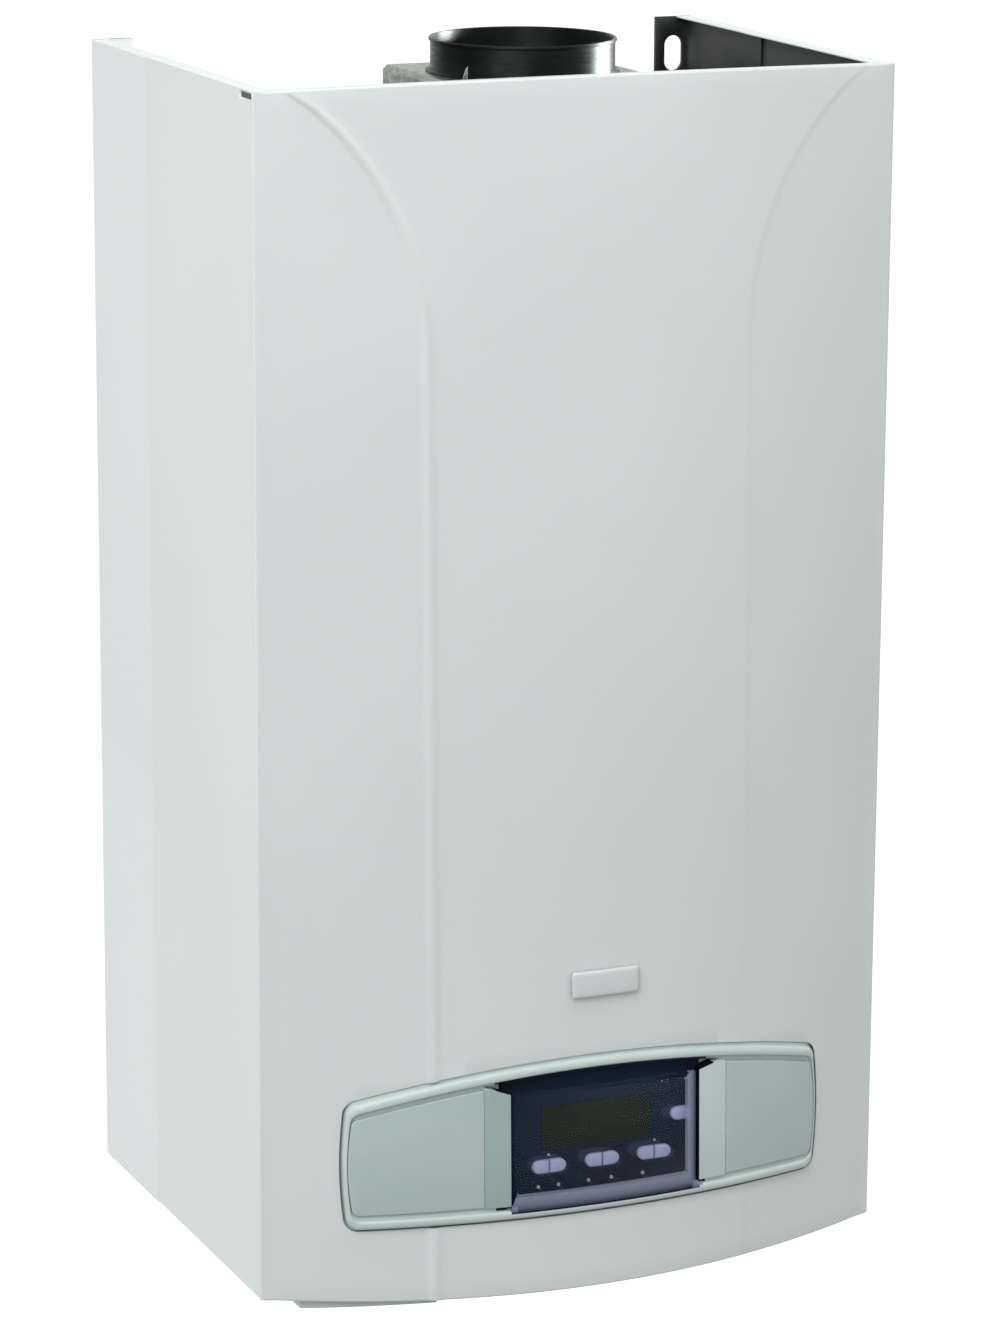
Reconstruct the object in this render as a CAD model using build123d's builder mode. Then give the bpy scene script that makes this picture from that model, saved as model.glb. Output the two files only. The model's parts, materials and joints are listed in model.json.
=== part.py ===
from build123d import *
import os
from math import sqrt

# Wall-hung combination boiler with an open flue.
# +X is to the right, +Y into the wall, +Z up. The origin lies on the wall,
# midway between the centres of the two hanging slots.

os.makedirs("parts", exist_ok=True)

# ---------------------------------------------------------------- driving sizes

# casing
casing_width = 430.0
casing_height = 763.0
side_depth = 303.0          # wall to the front corners of the casing
bow_at_bottom = 42.0        # how far the cover's middle stands before its corners
bow_at_top = 16.0
sheet = 1.0
cover_sheet = 1.2
flange = 12.0
seam_gap = 0.6
side_groove_from_wall = 110.0
side_groove_width = 3.0
side_groove_depth = 0.5
corner_notch_height = 88.0
corner_notch = 1.5
fit_gap = 0.4               # between sheets and mouldings that lie side by side
running_gap = 0.05          # radial, round shafts and pins

# hanging brackets
slot_drop = 25.0            # slot centre below the casing's top
slot_from_side = 13.5
slot_width = 13.0
slot_height = 24.0
ear_width = 27.0
ear_height = 73.0
bracket_plate = 2.5
arm_length = 118.0
arm_step = 62.0
arm_height = 58.0
arm_low_height = 34.0
rear_panel_drop = 43.0
rib_width = 14.0
rib_depth = 2.0
rib_inset = 40.0

# front cover
top_edge_rise = 3.0
bottom_edge_fall = 6.0
field_from_side = 106.5      # the raised middle field
field_arch_start = 600.0    # above the casing's bottom
field_arch_radius = 201.0
field_raise = 2.5
return_from_side = 13.8      # the cover's folded returns
cover_return_depth = 12.0
cover_return_foot = 22.0
cover_lip_drop = 2.0
screw_tab_width = 22.0
screw_tab_depth = 27.0
cover_screw_from_side = 14.0
cover_screw_from_front = 15.0
screw_radius = 2.0
screw_head_radius = 4.0
screw_head_height = 2.5
screw_clearance = 0.3
badge_x = 5.0
badge_level = 196.0
badge_width = 46.0
badge_height = 18.0
badge_raise = 1.6

# top cross rail
rail_top_drop = 3.6
rail_height = 24.0
rail_depth = 13.0

# fascia
fascia_from_side = 51.5
fascia_bottom = 46.0
fascia_corner_height = 127.0
fascia_top = 147.0
fascia_end_bulge = 2.0
fascia_corner_radius = 8.0
fascia_raise = 5.0
fascia_skin = 2.0
fascia_wall = 2.5
fascia_gap = 1.8
lip_height = 9.0
wing_recess = 2.0
wing_thickness = 1.0
wing_left_inner = -77.0
wing_right_inner = 92.0
wing_end_inset = 2.5
window_left = -60.0
window_right = 72.0
window_bottom = 50.0
window_top = 133.5
window_frame = 3.0
finger_slot_height = 5.5
finger_slot_reach = 16.0
finger_slot_depth = 4.0

# tinted flap
flap_thickness = 3.0
flap_raise = 4.5
flap_bottom = 48.0
flap_top = 128.0
flap_gap = 0.6
flap_corner_radius = 3.0
flap_axis_level = 52.0
flap_axis_behind = 0.3      # hinge axis behind the cover's outermost line there
flap_pin_radius = 1.5
flap_pin_length = 3.0
flap_boss_radius = 2.7
flap_boss_length = 4.0
flap_sweep_radius = 8.1
flap_rim = 2.0
flap_rim_depth = 2.4

# display panel, screen and buttons
panel_face = 333.0          # before the wall
panel_thickness = 2.5
screen_left = -35.0
screen_right = 41.0
screen_bottom = 85.5
screen_top = 114.5
screen_proud = 0.4
screen_depth = 5.0
button_level = 75.0
pill_centres = (-30.0, 7.0, 43.4)
pill_half_width = 11.6
button_height = 8.6
button_split = 0.9
button_proud = 2.6
button_depth = 8.0
button_gap = 0.35
button_travel = 1.0
single_button_x = 62.5
single_button_level = 99.0
single_button_width = 15.0

# control box
tray_from_side = 26.0
tray_bottom = -8.0
tray_top = 152.0
tray_rear = 205.0           # before the wall
tray_wall = 2.5
tray_front_offset = -6.0    # front wall, measured from the cover's outside
fascia_back = tray_front_offset + fit_gap
lid_thickness = 2.0
box_pin_from_front = 18.0
box_pin_level = 14.0
box_pin_radius = 4.0
box_pin_flange_radius = 9.0
box_pin_flange = 2.0
box_pin_reach = 4.5
board_from_panel = 11.0
board_thickness = 1.6
board_margin = 8.0

# pressure gauge in the tray's floor
gauge_from_side = 95.0
gauge_from_wall = 262.0
gauge_radius = 20.0
gauge_bore = 18.0
gauge_height = 26.0
gauge_recess = 6.0
gauge_lens_thickness = 1.2
needle_shaft_radius = 0.6
needle_hub_radius = 2.0
needle_hub_height = 1.4
needle_length = 13.0
needle_width = 1.2
needle_thickness = 0.8

# connections, from left to right: heating flow, hot water, gas, cold water, return
connection_from_side = 85.0  # axis of the outermost stubs
connection_from_wall = 64.0
large_stub_radius = 13.2
small_stub_radius = 10.5
stub_wall = 2.6
stub_drop = 45.0            # below the casing's bottom
plate_level = 6.0
plate_thickness = 2.0
plate_depth = 112.0
plate_fold = 12.0
plate_hole_gap = 1.5
nut_height = 12.0
neck_step = 0.8             # how much thicker a stub is above its tail
nut_over_thread = 6.0

# manifolds
manifold_depth = 40.0
manifold_height = 42.0
manifold_low = 20.0
return_manifold_low = 60.0
return_manifold_height = 30.0
valve_chamber_radius = 22.0
valve_chamber_height = 33.0
valve_bore = 12.0
valve_disc_radius = 10.0
valve_disc_height = 4.0
stem_radius = 3.0
stem_travel = 6.0
guide_height = 7.0
motor_width = 50.0
motor_height = 45.0
motor_bore = 8.0
port_radius = 11.0

# flow sensor and turbine
sensor_radius = 15.0
sensor_bore = 11.0
sensor_low = 14.0
turbine_radius = 10.4
turbine_hub_radius = 3.0
turbine_height = 8.0
turbine_blades = 6
turbine_blade = 0.9
turbine_axle_radius = 1.2

# plate heat exchanger
plates_from_side = 123.0
plates_height = 72.0
plates_low = 34.0
plates_depth = 54.0
plate_count = 18
plate_step = 0.9
plates_corner = 12.0

# pump
pump_level = 132.0
volute_radius = 38.0
volute_depth = 52.0
impeller_cavity_radius = 31.0
impeller_cavity_depth = 24.0
impeller_radius = 29.0
impeller_disc = 3.0
impeller_blade_height = 10.0
impeller_blades = 6
impeller_shaft_radius = 4.0
impeller_shaft_length = 60.0
motor_flange = 4.0
motor_can_radius = 36.0
motor_can_length = 80.0
vent_radius = 13.0
vent_height = 30.0

# safety valve and filling tap
safety_reach = 20.0
safety_body_radius = 11.0
knob_radius = 15.0
knob_height = 18.0
spindle_radius = 4.0
spindle_length = 14.0
filling_tap_from_return = 33.0
filling_tap_radius = 9.0
filling_tap_foot = -6.0

# gas line
gas_valve_low = 165.0
gas_valve_width = 90.0
gas_valve_depth = 80.0
gas_valve_height = 70.0
gas_coil_radius = 14.0
gas_coil_height = 34.0
gas_pipe_radius = 9.0
gas_pipe_bend = 20.0
gas_outlet_from_wall = 100.0

# burner and combustion chamber, stacked from the hood downwards
hood_top_drop = 6.0
hood_height = 152.0
hood_straight = 57.0
hood_top_width = 140.0
hood_top_depth = 124.0
hood_top_from_wall = 210.0
stack_gap = 1.0
chamber_from_side = 87.0
chamber_rear = 86.0         # before the wall
chamber_depth = 170.0
exchanger_height = 76.0
chamber_height = 190.0
insulation = 10.0
chamber_lap = 6.0
chamber_panel_sheet = 1.6
tube_radius = 8.0
tube_count = 5
tube_pitch = 30.0
tube_bend_gap = 20.0
fin_pitch = 4.0
fin_thickness = 0.5
fin_margin = 8.0
burner_height = 44.0
burner_margin = 4.0
burner_sheet = 1.2
ramp_count = 13
ramp_width = 11.0
ramp_height = 28.0
ramp_slots = 8
ramp_slot_width = 1.6
ramp_slot_depth = 4.0
ledge = 6.0
rail_tube_radius = 9.0
rail_tube_gap = 9.0
injector_radius = 3.0
injector_length = 5.0
electrode_radius = 4.0
electrode_length = 34.0
electrode_wire = 1.0
electrode_spacing = 36.0
electrode_level = 18.0      # above the chamber's lower edge

# flue collar and thermostat
flue_bore = 57.0
flue_sheet = 1.2
collar_height = 21.5
rim_radius = 1.2
collar_flange = 3.0
flue_from_wall = 210.0
hood_hole_radius = 55.0
thermostat_radius = 9.0
thermostat_height = 8.0
thermostat_x = -40.0
thermostat_drop = 36.0      # below the hood's top, on its front wall

# expansion vessel
vessel_radius = 160.0
vessel_rim = 7.0
vessel_depth = 64.0
vessel_rear = 7.0           # before the wall
vessel_shoulder = 18.0
vessel_sheet = 1.5
vessel_level = 448.0
vessel_pipe_x = 62.0
vessel_pipe_radius = 5.0
nipple_length = 14.0

# heating pipes
heating_pipe_radius = 9.0
heating_pipe_from_side = 23.0
heating_pipe_bend = 22.0
heating_pipe_wall = 1.0
return_pipe_from_wall = 80.0

# ---------------------------------------------------------------- levels and places

half_width = casing_width / 2
inner_half = half_width - sheet
floor_z = slot_drop - casing_height
top_z = slot_drop
panel_front = side_depth - cover_sheet - seam_gap
slot_x = half_width - slot_from_side
cover_return_x = half_width - return_from_side
cover_screw_x = half_width - cover_screw_from_side
tray_half_width = half_width - tray_from_side
heating_pipe_x = half_width - heating_pipe_from_side
field_half_width = half_width - field_from_side
fascia_half_width = half_width - fascia_from_side
gauge_x = half_width - gauge_from_side
connection_pitch = (half_width - connection_from_side) / 2
filling_tap_x = 2 * connection_pitch - filling_tap_from_return
chamber_half_width = half_width - chamber_from_side
plates_half_width = half_width - plates_from_side


def level(height):
    """Height above the casing's bottom, as a z coordinate."""
    return floor_z + height


def bow(z):
    """How far the cover's middle stands before its corners at one level."""
    share = (z - floor_z) / casing_height
    return bow_at_bottom + (bow_at_top - bow_at_bottom) * share


def front_y(x, z, offset=0.0):
    """Where a surface that follows the cover's outside, offset forwards, stands."""
    depth = bow(z)
    radius = (half_width ** 2 + depth ** 2) / (2 * depth)
    centre_y = radius - depth - side_depth
    return centre_y - sqrt((radius + offset) ** 2 - x ** 2)


def bowed_block(x_reach, back, low, high, offset):
    """Block with a flat back and a front that follows the cover's bow."""
    with BuildPart(mode=Mode.PRIVATE) as block:
        for z in (low, high):
            with BuildSketch(Plane.XY.offset(z)):
                with BuildLine():
                    side_y = front_y(x_reach, z, offset)
                    left = (-x_reach, side_y)
                    right = (x_reach, side_y)
                    ThreePointArc(left, (0, front_y(0, z, offset)), right)
                    Polyline(right, (x_reach, back), (-x_reach, back), left)
                make_face()
        loft(ruled=True)
    return block.part


def slab(x_low, x_high, y_low, y_high, z_low, z_high, mode=Mode.ADD):
    """Straight-sided block between two corners, in the part being made."""
    centre = ((x_low + x_high) / 2, (y_low + y_high) / 2, (z_low + z_high) / 2)
    with Locations(centre):
        Box(x_high - x_low, y_high - y_low, z_high - z_low, mode=mode)


def rod(start, direction, length, radius, mode=Mode.ADD):
    """Round bar that runs from a point along a direction, in the part being made."""
    with Locations(Plane(origin=start, z_dir=direction)):
        Cylinder(radius, length, align=(Align.CENTER, Align.CENTER, Align.MIN), mode=mode)


def bent_tube(points, radius, bore, bend):
    """Tube along straight runs joined by arcs."""
    with BuildPart(mode=Mode.PRIVATE) as tube:
        with BuildLine() as route:
            FilletPolyline(*points, radius=bend)
        with BuildSketch(Plane(origin=route.line @ 0, z_dir=route.line % 0)):
            Circle(radius)
            Circle(bore, mode=Mode.SUBTRACT)
        sweep()
    return tube.part


def framed_outline(low, high, reach):
    """Outline of the cover seen from the front, with its arched top and bottom edge."""
    with BuildSketch(Plane.XZ, mode=Mode.PRIVATE) as outline:
        with BuildLine():
            Line((-reach, low), (-reach, high))
            ThreePointArc((-reach, high), (0, high + top_edge_rise), (reach, high))
            Line((reach, high), (reach, low))
            ThreePointArc((reach, low), (0, low - bottom_edge_fall), (-reach, low))
        make_face()
    return outline.sketch


def field_outline(inset):
    """Outline of the raised middle field: straight sides that arch out at the top."""
    x = field_half_width - inset
    radius = field_arch_radius + inset
    arch_z = level(field_arch_start)
    rise = top_z + top_edge_rise + rim_radius - arch_z
    spread = radius - sqrt(radius ** 2 - rise ** 2)
    half_rise = rise / 2
    half_spread = radius - sqrt(radius ** 2 - half_rise ** 2)
    low = floor_z - 2 * bottom_edge_fall
    high = arch_z + rise
    with BuildSketch(Plane.XZ, mode=Mode.PRIVATE) as outline:
        with BuildLine():
            Line((-x, low), (x, low))
            Line((x, low), (x, arch_z))
            ThreePointArc((x, arch_z), (x + half_spread, arch_z + half_rise), (x + spread, high))
            Line((x + spread, high), (-x - spread, high))
            ThreePointArc((-x - spread, high), (-x - half_spread, arch_z + half_rise), (-x, arch_z))
            Line((-x, arch_z), (-x, low))
        make_face()
    return outline.sketch


def fascia_outline(grow):
    """Outline of the fascia: flat bottom, bulged ends and an arched top."""
    x = fascia_half_width + grow
    low = level(fascia_bottom) - grow
    high = level(fascia_corner_height) + grow
    mid = (low + high) / 2
    with BuildSketch(Plane.XZ, mode=Mode.PRIVATE) as outline:
        with BuildLine():
            Line((-x, low), (x, low))
            ThreePointArc((x, low), (x + fascia_end_bulge, mid), (x, high))
            ThreePointArc((x, high), (0, level(fascia_top) + grow), (-x, high))
            ThreePointArc((-x, high), (-x - fascia_end_bulge, mid), (-x, low))
        make_face()
        fillet(outline.vertices(), fascia_corner_radius + grow)
    return outline.sketch


def carve(outline, mode):
    """Run an outline from the wall forwards, past the front, in the part being made."""
    extrude(outline, amount=2 * side_depth, dir=(0, -1, 0), mode=mode)


def save(part, name):
    """Label a finished piece and write it as its own file."""
    part.label = name
    export_step(part, f"parts/{name}.step")


# ---------------------------------------------------------------- casing

rear_edge_z = top_z - ear_height
rear_inner_x = half_width - ear_width - fit_gap

with BuildPart() as back_panel:
    slab(-inner_half, inner_half, -sheet, 0, floor_z, rear_edge_z)
    slab(-rear_inner_x, rear_inner_x, -sheet, 0, rear_edge_z, top_z - rear_panel_drop)
    for share in (-1, 0, 1):
        rib_x = share * (inner_half - 2 * rib_inset)
        rib_low = floor_z + 3 * rib_inset
        rib_high = rear_edge_z - rib_inset
        slab(rib_x - rib_width / 2, rib_x + rib_width / 2, -sheet - rib_depth, -sheet, rib_low, rib_high)
        channel = rib_width / 2 - sheet
        slab(rib_x - channel, rib_x + channel, -rib_depth, 0, rib_low + sheet, rib_high - sheet,
             mode=Mode.SUBTRACT)
save(back_panel.part, "back_panel")


def side_panel(side):
    """Folded side sheet: top, front and rear flanges, outside groove and a screw lug."""
    outer = side * half_width
    inner = side * inner_half
    flange_edge = side * (half_width - flange)
    low_x, high_x = sorted((outer, inner))
    flange_low, flange_high = sorted((flange_edge, inner))
    lug_low, lug_high = sorted((side * (cover_screw_x - 2 * screw_head_radius), inner))
    with BuildPart() as panel:
        slab(low_x, high_x, -panel_front, 0, floor_z, top_z)
        slab(flange_low, flange_high, -panel_front, -bracket_plate - fit_gap, top_z - sheet, top_z)
        slab(flange_low, flange_high, -panel_front, -panel_front + sheet, floor_z, top_z)
        slab(flange_low, flange_high, -2 * sheet, -sheet, floor_z, rear_edge_z)
        groove_low = -side_groove_from_wall - side_groove_width / 2
        groove_x_low, groove_x_high = sorted((outer, outer - side * side_groove_depth))
        slab(groove_x_low, groove_x_high, groove_low, groove_low + side_groove_width, floor_z, top_z,
             mode=Mode.SUBTRACT)
        notch_low, notch_high = sorted((flange_edge, outer))
        slab(notch_low, notch_high, -panel_front, -panel_front + corner_notch, floor_z,
             level(corner_notch_height), mode=Mode.SUBTRACT)
        lug_z = level(cover_sheet + fit_gap)
        lug_front = -side_depth + cover_screw_from_front - 2 * screw_head_radius
        slab(lug_low, lug_high, lug_front, lug_front + screw_tab_depth, lug_z, lug_z + 1.5 * sheet)
        slot_half = screw_radius + screw_clearance
        screw_y = -side_depth + cover_screw_from_front
        with Locations((side * cover_screw_x, screw_y, lug_z)):
            Cylinder(slot_half, 4 * sheet, mode=Mode.SUBTRACT)
        slab(side * cover_screw_x - slot_half, side * cover_screw_x + slot_half,
             lug_front - fit_gap, screw_y, lug_z - sheet, lug_z + 2 * sheet, mode=Mode.SUBTRACT)
    return panel.part


save(side_panel(-1), "left_side_panel")
save(side_panel(1), "right_side_panel")

with BuildPart() as hanging_brackets:
    for side in (-1, 1):
        ear_low, ear_high = sorted((side * (half_width - ear_width), side * inner_half))
        slab(ear_low, ear_high, -bracket_plate, 0, rear_edge_z, top_z)
        arm_low, arm_high = sorted((side * (inner_half - bracket_plate), side * inner_half))
        arm_top = top_z - sheet
        slab(arm_low, arm_high, -arm_step, 0, arm_top - arm_height, arm_top)
        slab(arm_low, arm_high, -arm_length, -arm_step, arm_top - arm_low_height, arm_top)
    with BuildSketch(Plane.XZ.offset(-bracket_plate)):
        with Locations((-slot_x, 0), (slot_x, 0)):
            SlotOverall(slot_height, slot_width, rotation=90)
    extrude(amount=3 * bracket_plate, mode=Mode.SUBTRACT)
save(hanging_brackets.part, "hanging_brackets")

rail_top = top_z - rail_top_drop
rail_front = panel_front - sheet - fit_gap
with BuildPart() as top_cross_rail:
    slab(-inner_half, inner_half, -rail_front, -rail_front + rail_depth, rail_top - rail_height, rail_top)
    slab(-inner_half, inner_half, -rail_front + sheet, -rail_front + rail_depth + sheet,
         rail_top - rail_height + sheet, rail_top - sheet, mode=Mode.SUBTRACT)
save(top_cross_rail.part, "top_cross_rail")

# ---------------------------------------------------------------- front cover

cover_low = floor_z - bottom_edge_fall
cover_high = top_z + top_edge_rise
cover_back = -side_depth + cover_sheet

field_block = bowed_block(half_width, cover_back, cover_low, cover_high, field_raise)
field_hollow = bowed_block(half_width - cover_sheet, cover_back + cover_sheet, cover_low - cover_sheet,
                           cover_high + cover_sheet, field_raise - cover_sheet)
cover_block = bowed_block(half_width, cover_back, cover_low, cover_high, 0)
cover_hollow = bowed_block(half_width - cover_sheet, cover_back + cover_sheet, cover_low - cover_sheet,
                           cover_high + cover_sheet, -cover_sheet)
return_block = bowed_block(half_width, cover_back + cover_return_depth, cover_low, cover_high,
                           -cover_sheet / 2)
tab_block = bowed_block(half_width, -side_depth + screw_tab_depth, cover_low, cover_high,
                        -cover_sheet / 2)
cover_outline = framed_outline(floor_z, top_z, half_width)

with BuildPart() as raised_field:
    add(field_block)
    carve(field_outline(0), Mode.INTERSECT)
with BuildPart() as raised_hollow:
    add(field_hollow)
    carve(field_outline(cover_sheet), Mode.INTERSECT)

return_foot_z = level(cover_return_foot)
return_head_z = rail_top - rail_height - fit_gap
lip_z = top_z - cover_lip_drop
with BuildPart() as cover_returns:
    for side in (-1, 1):
        return_low, return_high = sorted((side * cover_return_x, side * (cover_return_x - cover_sheet)))
        slab(return_low, return_high, -2 * side_depth, 0, return_foot_z, return_head_z)
    slab(-cover_return_x, cover_return_x, -2 * side_depth, 0, lip_z - cover_sheet, lip_z)
    add(return_block, mode=Mode.INTERSECT)
with BuildPart() as cover_tabs:
    for side in (-1, 1):
        tab_outer = side * (inner_half - fit_gap)
        tab_low, tab_high = sorted((tab_outer, tab_outer - side * screw_tab_width))
        slab(tab_low, tab_high, -2 * side_depth, 0, floor_z, floor_z + cover_sheet)
    add(tab_block, mode=Mode.INTERSECT)

with BuildPart() as front_cover:
    add(cover_block)
    add(raised_field.part)
    add(cover_hollow, mode=Mode.SUBTRACT)
    add(raised_hollow.part, mode=Mode.SUBTRACT)
    carve(cover_outline, Mode.INTERSECT)
    carve(fascia_outline(fascia_gap), Mode.SUBTRACT)
    add(cover_returns.part)
    add(cover_tabs.part)
    for side in (-1, 1):
        with Locations((side * cover_screw_x, -side_depth + cover_screw_from_front, floor_z)):
            Cylinder(screw_radius + screw_clearance, 4 * cover_sheet, mode=Mode.SUBTRACT)
save(front_cover.part, "front_cover")

with BuildPart() as cover_screws:
    for side in (-1, 1):
        screw_x = side * cover_screw_x
        screw_y = -side_depth + cover_screw_from_front
        rod((screw_x, screw_y, floor_z), (0, 0, -1), screw_head_height, screw_head_radius)
        rod((screw_x, screw_y, floor_z), (0, 0, 1), 3 * screw_radius, screw_radius)
save(cover_screws.part, "cover_screws")

# blank raised plate with an arched top, stuck on the cover above the fascia
with BuildPart() as badge_plate:
    add(bowed_block(half_width, -side_depth, cover_low, cover_high, field_raise + badge_raise))
    badge_low = level(badge_level - badge_height / 2)
    badge_high = level(badge_level + badge_height / 2)
    with BuildSketch(Plane.XZ) as badge_face:
        with BuildLine():
            Line((badge_x - badge_width / 2, badge_low), (badge_x + badge_width / 2, badge_low))
            Line((badge_x + badge_width / 2, badge_low), (badge_x + badge_width / 2, badge_high - badge_raise))
            ThreePointArc((badge_x + badge_width / 2, badge_high - badge_raise), (badge_x, badge_high),
                          (badge_x - badge_width / 2, badge_high - badge_raise))
            Line((badge_x - badge_width / 2, badge_high - badge_raise), (badge_x - badge_width / 2, badge_low))
        make_face()
        fillet(badge_face.vertices(), badge_raise)
    extrude(amount=2 * side_depth, mode=Mode.INTERSECT)
    add(bowed_block(half_width, 0, cover_low - cover_sheet, cover_high + cover_sheet, field_raise),
        mode=Mode.SUBTRACT)
save(badge_plate.part, "badge_plate")

# ---------------------------------------------------------------- control box

box_axis_y = -side_depth + box_pin_from_front
box_axis_z = level(box_pin_level)

with BuildPart() as box_hinge_pins:
    for side in (-1, 1):
        start = (side * inner_half, box_axis_y, box_axis_z)
        inwards = (-side, 0, 0)
        rod(start, inwards, inner_half - tray_half_width + box_pin_reach, box_pin_radius)
        rod(start, inwards, box_pin_flange, box_pin_flange_radius)
save(box_hinge_pins.part, "box_hinge_pins")

tray_floor_z = level(tray_bottom)
tray_roof_z = level(tray_top)
opening_margin = window_frame + 1.0
tray_hollow = bowed_block(tray_half_width - tray_wall, -tray_rear + tray_wall, tray_floor_z + tray_wall,
                          tray_roof_z - tray_wall, tray_front_offset - tray_wall)
with BuildPart() as control_box_tray:
    add(bowed_block(tray_half_width, -tray_rear, tray_floor_z, tray_roof_z, tray_front_offset))
    add(tray_hollow, mode=Mode.SUBTRACT)
    slab(window_left - opening_margin, window_right + opening_margin, -2 * side_depth,
         -side_depth, level(window_bottom - opening_margin), level(window_top + opening_margin),
         mode=Mode.SUBTRACT)
    rod((-tray_half_width - fit_gap, box_axis_y, box_axis_z), (1, 0, 0), 2 * tray_half_width + 2 * fit_gap,
        box_pin_radius + running_gap, mode=Mode.SUBTRACT)
    rod((gauge_x, -gauge_from_wall, tray_floor_z - fit_gap), (0, 0, 1), tray_wall + 2 * fit_gap,
        gauge_radius + running_gap, mode=Mode.SUBTRACT)
save(control_box_tray.part, "control_box_tray")

with BuildPart() as control_box_lid:
    slab(-tray_half_width, tray_half_width, -tray_rear, -tray_rear + lid_thickness, tray_floor_z, tray_roof_z)
    for share in (-1, 0, 1):
        boss_x = share * tray_half_width / 2
        rod((boss_x, -tray_rear + lid_thickness, level(tray_top / 2)), (0, 1, 0), 2 * lid_thickness,
            4 * lid_thickness)
save(control_box_lid.part, "control_box_lid")

fascia_low = level(fascia_bottom) - fascia_corner_radius
fascia_high = level(fascia_top) + fascia_corner_radius
flap_axis_y = front_y(window_right, level(flap_axis_level)) - flap_raise + flap_thickness / 2 + flap_axis_behind


def fascia_layer(offset_low, offset_high, outline):
    """Part of an outline that lies between two surfaces that follow the cover."""
    with BuildPart(mode=Mode.PRIVATE) as layer:
        add(bowed_block(half_width, -side_depth / 2, fascia_low, fascia_high, offset_high))
        add(bowed_block(half_width + flange, 0, fascia_low - flange, fascia_high + flange, offset_low),
            mode=Mode.SUBTRACT)
        carve(outline, Mode.INTERSECT)
    return layer.part


def wing_outline(x_low, x_high):
    """Outline of a wing plate: the fascia's outline less its lips, between two lines."""
    with BuildSketch(Plane.XZ, mode=Mode.PRIVATE) as outline:
        add(fascia_outline(-wing_end_inset))
        for shift in (wing_end_inset - lip_height, lip_height - wing_end_inset):
            add(fascia_outline(-wing_end_inset).moved(Location((0, 0, shift))), mode=Mode.INTERSECT)
        with Locations(((x_low + x_high) / 2, level(fascia_bottom + fascia_top / 2))):
            Rectangle(x_high - x_low, fascia_top, mode=Mode.INTERSECT)
    return outline.sketch


wing_spans = ((-fascia_half_width - flange, wing_left_inner), (wing_right_inner, fascia_half_width + flange))

window_low = level(window_bottom)
window_high = level(window_top)
with BuildPart() as window_ring:
    slab(window_left - window_frame, window_right + window_frame, -2 * side_depth, -panel_face,
         window_low - window_frame, window_high + window_frame)
    add(bowed_block(half_width, -side_depth / 2, fascia_low, fascia_high, fascia_raise - fascia_skin / 2),
        mode=Mode.INTERSECT)
with BuildPart() as fascia:
    add(fascia_layer(fascia_back, fascia_raise, fascia_outline(0)))
    add(fascia_layer(fascia_back - fit_gap, fascia_raise - wing_recess - fascia_skin,
                     fascia_outline(-fascia_wall)), mode=Mode.SUBTRACT)
    add(window_ring.part)
    slab(window_left - window_frame, window_right + window_frame, -panel_face, 0,
         window_low - window_frame, window_high + window_frame, mode=Mode.SUBTRACT)
    for x_low, x_high in wing_spans:
        add(fascia_layer(fascia_raise - wing_recess, 2 * fascia_raise, wing_outline(x_low, x_high)),
            mode=Mode.SUBTRACT)
    slab(window_left, window_right, -2 * side_depth, 0, window_low, window_high, mode=Mode.SUBTRACT)
    slab(window_left - finger_slot_reach, window_right + finger_slot_reach, -2 * side_depth,
         front_y(window_right, window_high, fascia_raise - finger_slot_depth),
         window_high - finger_slot_height, window_high, mode=Mode.SUBTRACT)
    rod((window_left, flap_axis_y, level(flap_axis_level)), (1, 0, 0), window_right - window_left,
        flap_sweep_radius, mode=Mode.SUBTRACT)
    slab(window_left, window_right, -2 * side_depth, flap_axis_y, level(fascia_bottom) - fit_gap,
         level(flap_axis_level), mode=Mode.SUBTRACT)
    rod((window_left - flap_pin_length - fit_gap, flap_axis_y, level(flap_axis_level)), (1, 0, 0),
        window_right - window_left + 2 * (flap_pin_length + fit_gap), flap_pin_radius + running_gap,
        mode=Mode.SUBTRACT)
save(fascia.part, "fascia")

with BuildPart() as fascia_plates:
    for x_low, x_high in wing_spans:
        add(fascia_layer(fascia_raise - wing_recess, fascia_raise - wing_recess + wing_thickness,
                         wing_outline(x_low, x_high)))
save(fascia_plates.part, "fascia_plates")

flap_low = level(flap_bottom)
flap_high = level(flap_top)
flap_left = window_left + flap_gap
flap_right = window_right - flap_gap
with BuildSketch(Plane.XZ) as flap_face:
    with Locations(((flap_left + flap_right) / 2, (flap_low + flap_high) / 2)):
        RectangleRounded(flap_right - flap_left, flap_high - flap_low, flap_corner_radius)
with BuildSketch(Plane.XZ) as flap_inner:
    with Locations(((flap_left + flap_right) / 2, (flap_low + flap_high) / 2)):
        Rectangle(flap_right - flap_left - 2 * flap_rim, flap_high - flap_low - 2 * flap_rim)
flap_inside = flap_raise - flap_thickness
with BuildPart() as display_flap:
    add(fascia_layer(flap_inside, flap_raise, flap_face.sketch))
    add(fascia_layer(flap_inside - flap_rim_depth, flap_inside, flap_face.sketch))
    add(fascia_layer(flap_inside - 2 * flap_rim_depth, flap_inside, flap_inner.sketch), mode=Mode.SUBTRACT)
    for side, end in ((-1, flap_left), (1, flap_right)):
        pin_start = (end, flap_axis_y, level(flap_axis_level))
        rod(pin_start, (-side, 0, 0), flap_boss_length, flap_boss_radius)
        rod(pin_start, (side, 0, 0), flap_pin_length, flap_pin_radius)
save(display_flap.part, "display_flap")

# display panel with its screen and buttons


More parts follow.
